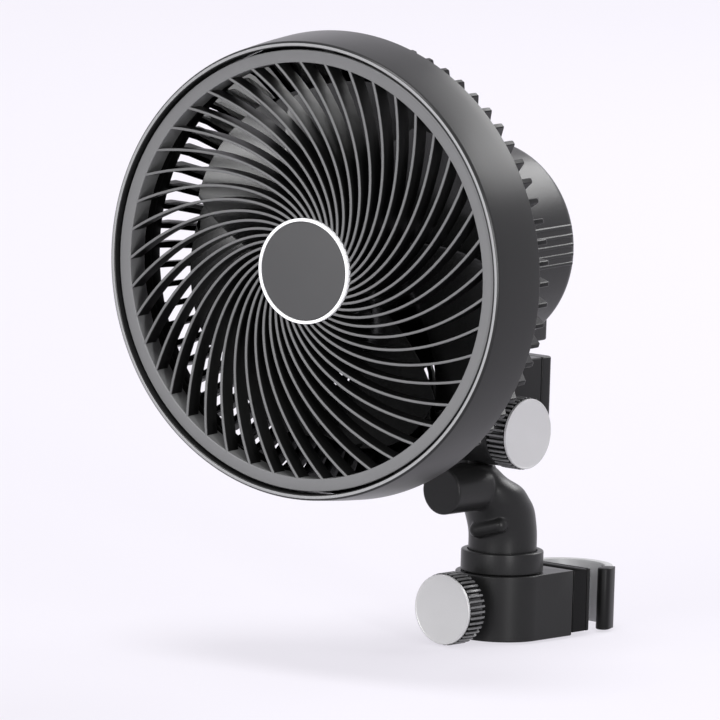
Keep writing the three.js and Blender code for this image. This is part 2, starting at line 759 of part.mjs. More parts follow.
function gearboxShell() {
  const behind = boxSplit + boxCorner;
  const outer = roundedBox(-boxHalfWidth, boxHalfWidth, boxFront, behind, boxBottom, boxTop, boxCorner);
  const trimmed = cut(outer, block(-50, 50, boxSplit, 50, 0, 200));
  const barrel = rod("x", barrelRadius, earSplit + seat, boxHalfWidth, tiltAxis, medium);
  const barrelBack = tiltY + barrelRadius;
  const room = block(-boxInner, boxInner, boxFront + boxWall, 50, barrelFloor, boxRoof);
  const rearRoom = block(-boxInner, boxInner, barrelBack + boxWall, 50, boxFloor, boxRoof);
  const earTop = tiltHeight + barrelRadius + running;
  const earRoom = block(-50, earSplit + seat, tiltY - 40, barrelBack + running, 0, earTop);
  const bushBore = (low, high) => rod("z", pinRadius + bushWall + seat, low, high, [0, swingAxisY], 12);
  const topBore = bushBore(boxRoof - 1, boxTop + 1);
  const lowBore = bushBore(shaftLow - seat, barrelFloor + 1);
  const boltBore = rod("x", boltRadius + seat, -50, 50, tiltAxis);
  const towers = boxScrewPlaces.map((place) => rod("y", boxTower, boxScrewTip - 2, boxSplit, place, tiny));
  const hollow = cut(join(trimmed, barrel), cut(room, barrel), cut(rearRoom, barrel), earRoom);
  return cut(join(hollow, ...towers), topBore, lowBore, boltBore, ...boxScrewPlaces.map(boxScrewHole));
}

function gearboxCover() {
  const ahead = boxSplit - boxCorner;
  const outer = roundedBox(-boxHalfWidth, boxHalfWidth, ahead, boxBack, boxBottom, boxTop, boxCorner);
  const trimmed = cut(outer, block(-50, 50, -50, boxSplit + seat, 0, 200));
  const room = block(-boxInner, boxInner, -50, boxBack - boxWall, boxFloor, boxRoof);
  const posts = boxScrewPlaces.map((place) => rod("y", boxTower, boxSplit + seat, boxBack - 1, place, tiny));
  return cut(join(cut(trimmed, room), ...posts), ...boxScrewPlaces.map(boxScrewHole));
}

function gearboxPieces(group) {
  piece(group, "gearbox_shell", gearboxShell(), charcoal);
  piece(group, "gearbox_cover", gearboxCover(), charcoal);
  boxScrewPlaces.forEach((place, i) => {
    piece(group, `gearbox_screw_${i + 1}`, screw("y", boxScrewTop, boxScrewTip, place), steel);
  });
  const bush = (low, high) => {
    const ring = tube("z", pinRadius + seat / 2, pinRadius + bushWall, low, high, 12);
    return move(ring, 0, swingAxisY, 0);
  };
  piece(group, "upper_bush", bush(boxRoof, boxTop - seat), nylon);
  piece(group, "lower_bush", bush(shaftLow, barrelFloor), nylon);
  const [wide, deep] = [gearMotorWidth / 2, gearMotorDepth / 2];
  const can = block(-wide, wide, gearMotorY - deep, gearMotorY + deep, gearMotorLow, gearMotorTop);
  piece(group, "swing_motor", can, steel);
}

function pinion(group) {
  const [tip, root] = [pinionRadius - 0.2, pinionRadius - 0.9];
  const wheel = toothed(tip, root, pinionTeeth, gearLow, gearLow + gearWidth, 0.1);
  const stub = rod("z", 1.2, gearMotorTop + seat, gearLow + 1, [0, 0], 10);
  piece(group, "swing_pinion", join(wheel, stub), nylon);
}

// ---------------------------------------------------------------- tilt joint and knobs

// A knob with its axis on Z: a grooved rim, a hub on its back, and a blind bore for the bolt.
function knob() {
  const rim = toothed(knobRadius, knobRoot, knobTeeth, 0, knobThick);
  const hub = rod("z", knobHub, -knobFoot, 1, [0, 0]);
  const bore = rod("z", screwRadius + seat, -knobFoot - 1, knobThick - knobFace, [0, 0]);
  return cut(join(rim, hub), bore);
}

const knobCap = () => rod("z", capRadius, knobThick + seat, knobThick + seat + capThick, [0, 0], medium);

function tiltKnob(group) {
  const place = (body) => move(toX(body), boxHalfWidth + 2 * seat, tiltY, tiltHeight);
  piece(group, "tilt_knob", place(knob()), black);
  piece(group, "tilt_knob_cap", place(knobCap()), silver);
}

function tiltBolt() {
  const under = earLeft + boltHeadThick;
  const top = rod("x", boltHeadRadius, earLeft + sunk, under, tiltAxis, 6);
  const shank = rod("x", boltRadius, under - 1, boxHalfWidth + knobThick - knobFace, tiltAxis);
  return join(top, shank);
}

function frictionDisc() {
  const right = earSplit - seat;
  const disc = tube("x", boltRadius + seat, frictionRadius, right - frictionThick, right);
  return move(disc, 0, tiltY, tiltHeight);
}

// ---------------------------------------------------------------- elbow

// The swept part of the elbow as stacked round sections. From the straight tube to the slim column it rises, runs
// forward and slims; each row gives the shares of these three.
function elbowSweep() {
  const rows = [
    [0, 0, 0],
    [0.27, 0.12, -0.04],
    [0.54, 0.33, -0.04],
    [0.71, 0.5, 0.17],
    [0.88, 0.77, 0.66],
    [1, 0.96, 0.97],
  ];
  const swept = rows.map(([rise, forward, slim]) => [
    tubeStraight + rise * (sweepTop - tubeStraight),
    forward * tiltY,
    tubeRadius + slim * (columnRadius - tubeRadius),
  ]);
  const sections = [[0, 0, tubeRadius], ...swept];
  const geometry = new THREE.CylinderGeometry(1, 1, 1, 24, sections.length - 1);
  geometry.rotateX(Math.PI / 2);
  const spot = geometry.attributes.position;
  for (let i = 0; i < spot.count; i++) {
    const step = Math.round((spot.getZ(i) + 0.5) * (sections.length - 1));
    const [height, y, radius] = sections[step];
    spot.setXYZ(i, spot.getX(i) * radius, y + spot.getY(i) * radius, height);
  }
  return solid(geometry);
}

// The small round lug on the front of the tube.
function lug() {
  const shape = new THREE.CapsuleGeometry(lugRadius, lugLength - 2 * lugRadius, 2, 8);
  shape.rotateZ(Math.PI / 2);
  shape.rotateY(radians(-lugSlope));
  shape.rotateZ(radians(lugTurn));
  const [x, y] = around(tubeRadius, lugTurn - 90);
  return solid(shape.translate(x, y, lugHeight));
}

function elbow() {
  const column = rod("z", columnRadius, columnLow, tiltHeight - barrelRadius + 4, [0, tiltY], 20);
  const boss = rod("y", bossRadius, bossFront, tiltY, [0, bossHeight], 24);
  const earRight = earSplit - frictionThick - 2 * seat;
  const ear = rod("x", barrelRadius, earLeft, earRight, tiltAxis, medium);
  const web = block(earLeft, 0, tiltY - columnRadius, tiltY + columnRadius, webLow, webHigh);
  const skirt = rod("z", tubeRadius, -seat - 1, 1, [0, 0], medium);
  const flange = rod("z", flangeRadius, -seat - flangeThick, -seat, [0, 0], 24);
  const saddle = rod("x", barrelRadius + running, earRight, 50, tiltAxis, medium);
  const boltBore = rod("x", boltRadius + seat, -50, 50, tiltAxis);
  const hexSink = rod("x", boltHeadRadius + seat, -50, earLeft + boltHeadThick + seat, tiltAxis, 6);
  const body = join(elbowSweep(), column, web, ear, boss, lug(), skirt, flange);
  return cut(body, saddle, boltBore, hexSink);
}

// ---------------------------------------------------------------- clamp

const screwAxis = [0, -screwDrop];
const insertFront = -blockRadius + 2.2;
const hookScrewPlaces = [0.25, 0.75].map((share) => [(hookRoot + blockBack) / 2, -hookDrop - share * hookHeight]);
const hookScrewTop = -hookOuter + sunk;
const hookScrewTip = armInner + hookPad + 1.5;
const hookScrewHole = (place) => screwHole("x", hookScrewTop, hookScrewTip, place);
const baseScrewPlaces = [[-11, -8], [11, -8], [8, 17]];
const baseScrewTop = -blockHeight + sunk;
const baseScrewTip = -blockHeight + 10;
const baseScrewHole = (place) => screwHole("z", baseScrewTop, baseScrewTip, place);

// Plan of the clamp block: a half round front, straight sides and a flat back, shrunk by `inset`.
function blockPlan(inset) {
  const radius = blockRadius - inset;
  const shape = new THREE.Shape();
  shape.moveTo(radius, blockBack - inset);
  shape.lineTo(-radius, blockBack - inset);
  shape.lineTo(-radius, 0);
  shape.absarc(0, 0, radius, Math.PI, 2 * Math.PI);
  return shape;
}

// The notch along the left side of the block that takes the arm of the hook, grown by `grow`.
function armRoom(grow) {
  return block(-50, armInner + grow, hookRoot - seat - grow, 60, -blockHeight - 1, 1);
}

function clampBlock() {
  const below = -blockHeight - 1;
  const coverTop = -blockHeight + baseThick + seat;
  const recessFloor = -flangeThick - washerThick - 2 * seat;
  const shell = raised(blockPlan(0), -blockHeight, 0, 14);
  const room = raised(blockPlan(blockWall), below, recessFloor - 5);
  const boss = rod("y", insertRadius + 3, -blockRadius + 2, insertEnd - 1, screwAxis, 12);
  const posts = baseScrewPlaces.map((place) => rod("z", 3, coverTop, -blockWall, place, tiny));
  const armPad = block(armInner - 1, armInner + hookPad, hookRoot, blockBack - 1, coverTop, recessFloor - 2);
  const recess = rod("z", flangeRadius + running, recessFloor, 1, [0, 0], 24);
  const screwBore = rod("y", screwRadius + running, -60, 60, screwAxis, 12);
  const insertBore = rod("y", insertRadius + seat, insertFront, insertEnd, screwAxis, 12);
  const coverSink = raised(blockPlan(blockWall / 2), below, coverTop, 10);
  const body = join(cut(shell, room), boss, ...posts, armPad);
  const drills = [...baseScrewPlaces.map(baseScrewHole), ...hookScrewPlaces.map(hookScrewHole)];
  return cut(body, recess, screwBore, insertBore, armRoom(0), coverSink, ...drills);
}

function baseCover() {
  const plate = raised(blockPlan(blockWall / 2 + seat), -blockHeight, -blockHeight + baseThick, 10);
  return cut(plate, armRoom(seat), ...baseScrewPlaces.map(baseScrewHole));
}

// Plan of a ring segment round the pole, from one angle to a larger one.
function arcPlan(inner, outer, from, to) {
  const shape = new THREE.Shape();
  shape.absarc(0, stemToPole, outer, radians(from), radians(to), false);
  shape.absarc(0, stemToPole, inner, radians(to), radians(from), true);
  return shape;
}

// The tongue on the end of the hook that carries the rubber tip, grown by `grow`.
function tongue(grow) {
  const middle = (hookInner + hookOuter) / 2;
  const half = tongueThick / 2 + grow;
  const plan = arcPlan(middle - half, middle + half, tongueEnd - grow, hookEnd + 2);
  return raised(plan, hookBottom + hookHeight / 4 - grow, hookBottom + 0.75 * hookHeight + grow, 6);
}

// The hook: a straight arm on the left that runs into an arc round the pole.
function hook() {
  const [inner, outer] = [hookInner + seat, hookOuter];
  const end = radians(hookEnd);
  const plan = new THREE.Shape();
  plan.moveTo(-outer, hookRoot);
  plan.lineTo(-inner, hookRoot);
  plan.lineTo(-inner, stemToPole);
  plan.absarc(0, stemToPole, inner, Math.PI, end, true);
  plan.absarc(0, stemToPole, outer, end, Math.PI, false);
  const band = raised(plan, hookBottom, -hookDrop, 16);
  return cut(join(band, tongue(0)), ...hookScrewPlaces.map(hookScrewHole));
}

// The rubber tip carries the arc on and is a little thicker, with a round end.
function hookTip() {
  const middle = (hookInner + hookOuter) / 2;
  const half = tipThick / 2;
  const low = hookBottom - tipDrop;
  const band = raised(arcPlan(middle - half, middle + half, tipEnd, hookEnd - 1), low, -hookDrop, 8);
  const [x, y] = around(middle, tipEnd);
  const nose = rod("z", half, low, -hookDrop, [x, stemToPole + y], 12);
  return cut(join(band, nose), tongue(seat));
}

const jawLeft = armInner + running;
const jawFront = blockBack + seat;
const socketEnd = jawFront + jawThick - 3;
const buttonRadius = screwRadius + buttonRim;

function jaw() {
  const body = block(jawLeft, blockRadius, jawFront, jawFront + jawThick, -jawHeight, 0);
  const socket = rod("y", screwRadius + running, jawFront - 1, socketEnd, screwAxis, 12);
  const buttonRoom = rod("y", buttonRadius + running, jawFront + 2, socketEnd, screwAxis, 12);
  return cut(body, socket, buttonRoom);
}

function jawPad() {
  const front = jawFront + jawThick + seat;
  return block(jawLeft, blockRadius, front, front + padThick, -jawHeight, 0);
}

function clampPieces(group) {
  piece(group, "clamp_block", clampBlock(), charcoal);
  piece(group, "clamp_base_cover", baseCover(), charcoal);
  baseScrewPlaces.forEach((place, i) => {
    piece(group, `base_screw_${i + 1}`, screw("z", baseScrewTop, baseScrewTip, place), steel);
  });
  piece(group, "swivel_collar", tube("z", tubeRadius + seat, collarRadius, seat, collarHeight, medium), charcoal);
  piece(group, "swivel_washer", tube("z", 6, flangeRadius, washerLow, washerLow + washerThick, 20), nylon);
  piece(group, "clamp_hook", hook(), hookGrey);
  piece(group, "hook_tip", hookTip(), rubber);
  hookScrewPlaces.forEach((place, i) => {
    piece(group, `hook_screw_${i + 1}`, screw("x", hookScrewTop, hookScrewTip, place), steel);
  });
  const insert = tube("y", screwRadius + seat, insertRadius, insertFront + seat, insertEnd - seat, 12);
  piece(group, "screw_insert", move(insert, 0, 0, -screwDrop), steel);
}

function clampScrewPieces(group) {
  const end = socketEnd - seat;
  const shank = rod("y", screwRadius, knobBack - knobThick + knobFace + 1, end, screwAxis, 12);
  const button = rod("y", buttonRadius, jawFront + 2.5, end, screwAxis, 12);
  piece(group, "clamp_screw", join(shank, button), steel);
  const place = (body) => move(toFront(body), 0, knobBack, -screwDrop);
  piece(group, "clamp_knob", place(knob()), black);
  piece(group, "clamp_knob_cap", place(knobCap()), silver);
}

function jawPieces(group) {
  piece(group, "clamp_jaw", jaw(), black);
  piece(group, "jaw_pad", jawPad(), rubber);
}

// ---------------------------------------------------------------- assembly

const clipFan = new THREE.Group();
const stem = new THREE.Group(); // the axis of the stem, at the height of the top of the clamp block
stem.position.set(0, -stemToPole, screwDrop);
clipFan.add(stem);

clampPieces(stem);
jawPieces(stem);
clampScrewPieces(stem);
piece(stem, "elbow", elbow(), charcoal);
piece(stem, "friction_disc", frictionDisc(), nylon);
piece(stem, "tilt_bolt", tiltBolt(), steel);
tiltKnob(stem);
gearboxPieces(stem);

const pinionAxis = new THREE.Group();
pinionAxis.position.set(0, gearMotorY, 0);
stem.add(pinionAxis);
pinion(pinionAxis);

const swing = new THREE.Group(); // the upright swing axis; all that hangs on it looks aside by the rest angle
swing.position.set(0, swingAxisY, 0);
swing.rotation.z = radians(restYaw);
stem.add(swing);
neckPieces(swing);

const head = new THREE.Group(); // the fan axis, with the flat front ring at y = 0
head.position.set(0, -swingAxisDepth, fanAxisHeight);
swing.add(head);
piece(head, "front_grille", frontGrille(), ringGrey);
badgePieces(head);
piece(head, "shroud", shroud(), charcoal);
piece(head, "rear_grille", rearGrille(), black);
rotor(head);
motorBells(head);
stator(head);
motorScrewPlaces.forEach((place, i) => {
  piece(head, `motor_screw_${i + 1}`, screw("y", motorScrewTop, motorScrewTip, place), steel);
});
piece(head, "motor_cover", motorCover(), charcoal);
piece(head, "control_board", controlBoard(), board);
piece(head, "cable_gland", cableGland(), rubber);

export default clipFan;
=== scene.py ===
"""A clip fan: the finished surfaces of a six inch fan head, its tilting neck and its pole clamp.

Shapes are given in millimetres, in frames of their own:
  stem frame  - the upright axis of the stem, heights measured from the top of the clamp block
  swing frame - the upright axis on which the head swings, turned as the head is at rest
  head frame  - x to the right, depth back from the flat front ring, z up from the fan axis
"""
import json
import math

import bmesh
import bpy
import numpy as np
from mathutils import Matrix, Vector
from mathutils.bvhtree import BVHTree

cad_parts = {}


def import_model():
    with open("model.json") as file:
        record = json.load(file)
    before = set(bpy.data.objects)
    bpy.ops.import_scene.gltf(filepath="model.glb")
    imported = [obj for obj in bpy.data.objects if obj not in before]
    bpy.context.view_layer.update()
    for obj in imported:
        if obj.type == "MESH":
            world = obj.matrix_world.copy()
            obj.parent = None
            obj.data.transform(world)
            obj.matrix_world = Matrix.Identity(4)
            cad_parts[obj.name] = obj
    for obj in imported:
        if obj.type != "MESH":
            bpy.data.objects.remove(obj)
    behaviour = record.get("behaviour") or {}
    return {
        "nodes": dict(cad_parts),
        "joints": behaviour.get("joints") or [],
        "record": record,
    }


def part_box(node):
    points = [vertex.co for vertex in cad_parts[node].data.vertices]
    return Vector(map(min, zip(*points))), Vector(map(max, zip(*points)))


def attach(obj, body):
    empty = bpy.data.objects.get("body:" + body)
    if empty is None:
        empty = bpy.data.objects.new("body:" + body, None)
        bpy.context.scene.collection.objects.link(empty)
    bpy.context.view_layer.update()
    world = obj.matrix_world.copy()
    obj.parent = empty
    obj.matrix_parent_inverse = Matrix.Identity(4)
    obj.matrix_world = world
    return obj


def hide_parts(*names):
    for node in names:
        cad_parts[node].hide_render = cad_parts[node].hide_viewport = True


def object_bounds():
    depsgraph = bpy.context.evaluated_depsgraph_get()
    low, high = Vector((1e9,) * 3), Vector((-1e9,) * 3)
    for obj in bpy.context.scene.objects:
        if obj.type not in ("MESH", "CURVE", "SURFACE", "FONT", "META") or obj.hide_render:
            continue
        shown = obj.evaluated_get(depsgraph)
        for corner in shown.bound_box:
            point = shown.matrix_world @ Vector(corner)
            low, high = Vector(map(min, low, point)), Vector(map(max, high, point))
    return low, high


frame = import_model()
cad_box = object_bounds()

MM = 0.001
TURN = 2 * math.pi
NEAR_AXIS = 0.02  # the radius that stands for the axis itself in a turned profile

# ------------------------------------------------------------------ places taken from the frame

JOINTS = {joint["name"]: joint for joint in frame["joints"]}
FAN_WAY = np.array(JOINTS["fan_spin"]["axis"])  # points forward along the fan axis
YAW = math.atan2(FAN_WAY[0], -FAN_WAY[1])
SWING_AT = np.array(JOINTS["head_swing"]["pos_m"]) / MM
TILT_AT = np.array(JOINTS["head_tilt"]["pos_m"]) / MM
FAN_AT = np.array(JOINTS["fan_spin"]["pos_m"]) / MM
BLOCK_LOW, BLOCK_HIGH = (np.array(corner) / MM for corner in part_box("clamp_block"))
BLOCK_R = BLOCK_HIGH[0]
STEM_AT = np.array([0.0, BLOCK_LOW[1] + BLOCK_R, BLOCK_HIGH[2]])
SWING_Y = SWING_AT[1] - STEM_AT[1]
TILT_Y = TILT_AT[1] - STEM_AT[1]
TILT_Z = TILT_AT[2] - STEM_AT[2]
FAN_Z = FAN_AT[2] - STEM_AT[2]

# ------------------------------------------------------------------ sizes

# Head
RING_INNER = 87.0
RING_OUTER = 92.3
RING_THICK = 2.4
SKIRT_THICK = 1.8
SKIRT_DEPTH = 11.0
VANES = 45
VANE_THICK = 1.1
VANE_DEPTH = 8.5
VANE_SWEEP = math.radians(64)
VANE_START = math.radians(4)
HUB_R = 22.6
HUB_DEPTH = 9.0
BADGE_R = 20.6
BADGE_RIM = 1.5
LIP_R = 96.0
LIP_PROUD = 2.0
LIP_INNER = 93.6
SHROUD_WALL = 2.2
SHROUD_FLARE = 2.6
SHROUD_DEPTH = 27.0
RIBS = 68
RIB_THICK = 2.2
RIB_DEEP = 4.0
KNEE_R = 95.3
KNEE_DEPTH = 39.3
MID_R = 82.0
MID_DEPTH = 52.0
PLATE_R = 50.0
PLATE_DEPTH = 60.0
PLATE_THICK = 3.0
SWING_DEPTH = 158.5

# Fan wheel
BLADES = 7
BLADE_TIP = 78.0
BLADE_THICK = 2.0
BLADE_FRONT = 17.0
BLADE_BACK = 44.0
BLADE_SPREAD = (52, 62)  # degrees round the axis, at the hub and at the tip
BLADE_LEAN = 24  # degrees by which the tip runs ahead of the hub
BLADE_BELLY = 3.0
WHEEL_HUB_R = 24.0
SHAFT_BORE = 3.4

# Motor cover
COVER_R = 44.5
COVER_WALL = 2.4
COVER_BACK = 146.0
COVER_ROUND = 6.0
GRIPS = 5
GRIP_PITCH = 4.0
GRIP_MIDDLE = 3.0
GRIP_LONG = 46.0
GRIP_HIGH = 1.0
GRIP_HALF = 1.05
GLAND_R = 5.0
GLAND_FLANGE = 1.6
GLAND_BORE = 2.2
GLAND_Z = 24.0

# Neck and gearbox
BOX_HALF = 16.2
BOX_CORNER = 3.0
NECK_LOW = 101.0
NECK_HIGH = FAN_Z - 5.8
NECK_DEEP = 24.4
PIVOT_R = 12.0
BARREL_R = 15.2
EAR_SPLIT = -6.0
EAR_LEFT = -16.0
EAR_HOLLOW_R = 6.6
EAR_HOLLOW_DEEP = 3.8
EAR_BORE = 3.4
GAP = 0.3  # between pieces that lie on each other

# Screws
PAN_R = 2.8
PAN_THICK = 1.6
PAN_BULGE = 0.3
SHANK_R = 1.4
CROSS_DEEP = 0.8
CROSS_REACH = 1.7
CROSS_HALF = 0.6

# Knobs
KNOB_R = 15.6
KNOB_ROOT = 14.1
KNOB_THICK = 9.2
KNOB_TEETH = 40
CAP_R = 15.1
CAP_THICK = 1.2
CAP_SUNK = 0.14

# Elbow
TUBE_R = 14.8
COLUMN_R = 7.8
COLUMN_LOW = 30.0
BOSS_R = 10.4
BOSS_Z = 38.3
BOSS_FRONT = -42.4
WEB_LOW = 43.0
WEB_HIGH = 50.5
FOOT_R = 16.4
FOOT_LOW = -2.9
LUG_AT = 20.5
LUG_HALF = 5.4
LUG_R = 3.6
LUG_SLOPE = math.radians(16)
LUG_YAW = math.radians(15)

# Clamp
BLOCK_BACK = 24.7
SCREW_Z = -13.3
HOOK_TOP = -1.4
HOOK_LOW = -28.0
JAW_LOW = -27.2
POLE_Y = 45.0
COLLAR_R = 17.8
COLLAR_HIGH = 9.4
HOOK_INNER = 15.8
HOOK_OUTER = 19.5
HOOK_ROOT = 8.0
HOOK_END = math.radians(35)
TIP_END = math.radians(14)
TIP_THICK = 6.0
TIP_DROP = 0.3
JAW_LEFT = -15.0
JAW_THICK = 8.8
PAD_THICK = 2.0
SCREW_R = 4.0
THREAD_PITCH = 1.25
THREAD_DEEP = 0.62
BUTTON_R = 5.5
BUTTON_THICK = 3.4
KNOB_BACK = -28.5


# ------------------------------------------------------------------ frames

def from_stem(points):
    """Stem frame to the frame of the whole part: the points plus the place of the stem."""
    return points + STEM_AT


def from_swing(points):
    """Turned by the rest yaw about the upright swing axis, then placed with the stem."""
    c, s = math.cos(YAW), math.sin(YAW)
    x, y, z = np.moveaxis(points, -1, 0)
    swung = np.stack([c * x - s * y, s * x + c * y + SWING_Y, z], axis=-1)
    return from_stem(swung)


def from_head(points):
    """Head frame (x, depth, z) to the swing frame: back by the swing depth and up to the fan axis."""
    return from_swing(points + np.array([0.0, -SWING_DEPTH, FAN_Z]))


def axis_x(points, middle=(0.0, 0.0)):
    """A shape turned about z, laid so that its own z runs along x: (x, y, z) becomes (z, x, y)."""
    return np.roll(points, 1, axis=-1) + np.array([0.0, middle[0], middle[1]])


def axis_y(points, middle=(0.0, 0.0)):
    """A shape turned about z, laid so that its own z runs along y: (x, y, z) becomes (y, z, x)."""
    return np.roll(points, -1, axis=-1) + np.array([middle[0], 0.0, middle[1]])


# ------------------------------------------------------------------ surfaces

def grid_faces(rows, columns, close_rows):
    """Four-cornered faces of a grid of points whose rows are closed rings: corner (i, j), its neighbour
    in j, and both again in the row i + 1."""
    i = np.arange(rows if close_rows else rows - 1)[:, None]
    j = np.arange(columns)[None, :]
    below, beside = (i + 1) % rows, (j + 1) % columns
    corners = [i * columns + j, i * columns + beside, below * columns + beside, below * columns + j]
    return np.stack([c + 0 * i + 0 * j for c in corners], axis=-1).reshape(-1, 4)


def shell(grid, close_rows=False, ends=True):
    """A grid of points as (points, faces): a tube around its columns, its first and last row filled in."""
    rows, columns = grid.shape[:2]
    faces = grid_faces(rows, columns, close_rows).tolist()
    if ends and not close_rows:
        faces.append(list(range(columns))[::-1])
        faces.append([(rows - 1) * columns + j for j in range(columns)])
    return grid.reshape(-1, 3), faces


def copies(part, placements):
    """The same (points, faces) once for every placement, each placement a function of the points."""
    points, faces = part
    placed = [place(points) for place in placements]
    moved = [[corner + n * len(points) for corner in face] for n in range(len(placed)) for face in faces]
    return np.concatenate(placed), moved


def laid(part, place):
    """The same faces, with the points put in their place by a function."""
    points, faces = part
    return place(points), faces


def lathe_y(part):
    """A turned shape laid along the depth of the head."""
    return laid(part, axis_y)


def together(*parts):
    """Several (points, faces) as one."""
    starts = np.cumsum([0] + [len(points) for points, _ in parts])
    faces = [[corner + int(start) for corner in face]
             for start, (_, own) in zip(starts, parts) for face in own]
    return np.concatenate([points for points, _ in parts]), faces


def rounded(corners, radius, steps=4, closed=True):
    """A polygon with its corners rounded: each corner gives way to the curve q(t) between two points
    on its sides, q = (1-t)^2 a + 2t(1-t) corner + t^2 b, at most 0.45 of a side away."""
    p = np.asarray(corners, dtype=float)
    before, after = np.roll(p, 1, axis=0), np.roll(p, -1, axis=0)
    reach = np.broadcast_to(np.asarray(radius, dtype=float), (len(p),))
    to_before, to_after = before - p, after - p
    back, on = np.linalg.norm(to_before, axis=1), np.linalg.norm(to_after, axis=1)
    cut = np.minimum(reach, 0.45 * np.minimum(back, on))
    a = p + to_before * (cut / back)[:, None]
    b = p + to_after * (cut / on)[:, None]
    t = np.linspace(0, 1, steps + 1)[None, :, None]
    curve = (1 - t) ** 2 * a[:, None] + 2 * t * (1 - t) * p[:, None] + t ** 2 * b[:, None]
    if not closed:
        curve = curve[1:-1]
        return np.concatenate([p[:1], curve.reshape(-1, 2), p[-1:]])
    return curve.reshape(-1, 2)


def turned(profile, sides=96, closed=True):
    """A solid of revolution about z from [radius, height] points: (r cos a, r sin a, height).
    An open profile starts and ends near the axis, and its two ends are filled in."""
    r, h = np.asarray(profile, dtype=float).T
    a = np.linspace(0, TURN, sides, endpoint=False)
    x, y = r[:, None] * np.cos(a), r[:, None] * np.sin(a)
    grid = np.stack([x, y, np.broadcast_to(h[:, None], x.shape)], axis=-1)
    return shell(grid, close_rows=closed, ends=not closed)


def disc_profile(radius, low, high, edge):
    """A disc from its middle out: flat, a round edge at the bottom and the top, and back to the middle."""
    corners = [[NEAR_AXIS, low], [radius, low], [radius, high], [NEAR_AXIS, high]]
    return rounded(corners, edge, closed=False)


def tube_profile(inner, outer, low, high, edge):
    """The section of a tube wall: a rectangle in radius and height with its corners rounded."""
    return rounded([[inner, low], [outer, low], [outer, high], [inner, high]], edge)


def outward(plan):
    """The unit normal at each point of a closed plan that runs counter-clockwise."""
    along = np.roll(plan, -1, axis=0) - np.roll(plan, 1, axis=0)
    along /= np.linalg.norm(along, axis=1, keepdims=True)
    return np.stack([along[:, 1], -along[:, 0]], axis=1)


def moulded(plan, low, high, edge, steps=4):
    """A plan raised from low to high with round top and bottom edges. Each row lies inside the plan by
    edge (1 - cos a) and above the bottom by edge (1 - sin a), with a from 90 to 0 degrees, and the same
    upside down at the top."""
    a = np.linspace(math.pi / 2, 0, steps + 1)
    inset = np.concatenate([edge * (1 - np.cos(a)), edge * (1 - np.cos(a[::-1]))])
    height = np.concatenate([low + edge * (1 - np.sin(a)), high - edge * (1 - np.sin(a[::-1]))])
    flat = plan[None] - inset[:, None, None] * outward(plan)[None]
    grid = np.concatenate([flat, np.broadcast_to(height[:, None, None], flat.shape[:2] + (1,))], axis=-1)
    return shell(grid)


def box_plan(x0, x1, y0, y1, corner, steps=6):
    """A rectangle that runs counter-clockwise, its corners rounded."""
    return rounded([[x0, y0], [x1, y0], [x1, y1], [x0, y1]], corner, steps)


def arc(centre, radius, start, stop, steps):
    """Points on a circle from one angle to another."""
    a = np.linspace(start, stop, steps)
    return np.stack([centre[0] + radius * np.cos(a), centre[1] + radius * np.sin(a)], axis=1)


def through(stations, steps):
    """A smooth row of values through stations (Catmull and Rom's cubic): between stations 1 and 2 it is
    half of (2 p1 + (p2 - p0) t + (2 p0 - 5 p1 + 4 p2 - p3) t^2 + (3 p1 - p0 - 3 p2 + p3) t^3)."""
    p = np.asarray(stations, dtype=float)
    p = np.concatenate([2 * p[:1] - p[1:2], p, 2 * p[-1:] - p[-2:-1]])
    p0, p1, p2, p3 = (p[k:len(p) - 3 + k, None] for k in range(4))
    t = np.linspace(0, 1, steps, endpoint=False)[None, :, None]
    cubic = 2 * p1 + (p2 - p0) * t + (2 * p0 - 5 * p1 + 4 * p2 - p3) * t ** 2
    cubic = 0.5 * (cubic + (3 * p1 - p0 - 3 * p2 + p3) * t ** 3)
    return np.concatenate([cubic.reshape(-1, p.shape[1]), p[-2:-1]])


def spun(count):
    """Placements that turn a piece of the head round the fan axis, count times."""
    def turn(angle):
        c, s = math.cos(angle), math.sin(angle)
        spin = np.array([[c, 0, -s], [0, 1, 0], [s, 0, c]])
        return lambda points: points @ spin
    return [turn(TURN * n / count) for n in range(count)]


# ------------------------------------------------------------------ making pieces

def piece(name, part, place, body, finish, nodes=(), crease=35):
    """Puts (points, faces) into a mesh in metres, turned right side out, and ties it to its body."""
    points, faces = part
    mesh = bpy.data.meshes.new(name)
    mesh.from_pydata((place(points) * MM).tolist(), [], faces)
    turn_outwards(mesh)
    obj = bpy.data.objects.new(name, mesh)
    bpy.context.scene.collection.objects.link(obj)
    mesh.materials.append(finish)
    smooth(mesh, crease)
    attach(obj, body)
    if nodes:
        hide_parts(*nodes)
    return obj


def turn_outwards(mesh):
    """Points every face of each closed body outwards."""
    work = bmesh.new()
    work.from_mesh(mesh)
    bmesh.ops.remove_doubles(work, verts=work.verts, dist=1e-7)
    bmesh.ops.recalc_face_normals(work, faces=work.faces)
    work.to_mesh(mesh)
    work.free()


def smooth(mesh, crease):
    """Shades a mesh smooth, with a hard edge where two faces meet at more than the crease angle."""
    mesh.shade_smooth()
    mesh.set_sharp_from_angle(angle=math.radians(crease))


def merged(obj, size, rounds):
    """Melts the bodies of a piece into one skin of that grain, then eases its inner corners."""
    remesh = obj.modifiers.new("one skin", "REMESH")
    remesh.mode = "VOXEL"
    remesh.voxel_size = size * MM
    remesh.use_smooth_shade = True
    ease = obj.modifiers.new("eased corners", "SMOOTH")
    ease.factor = 0.5
    ease.iterations = rounds


NARROW = math.radians(30)
SHARP = math.radians(46)
FLAT = math.radians(0.5)


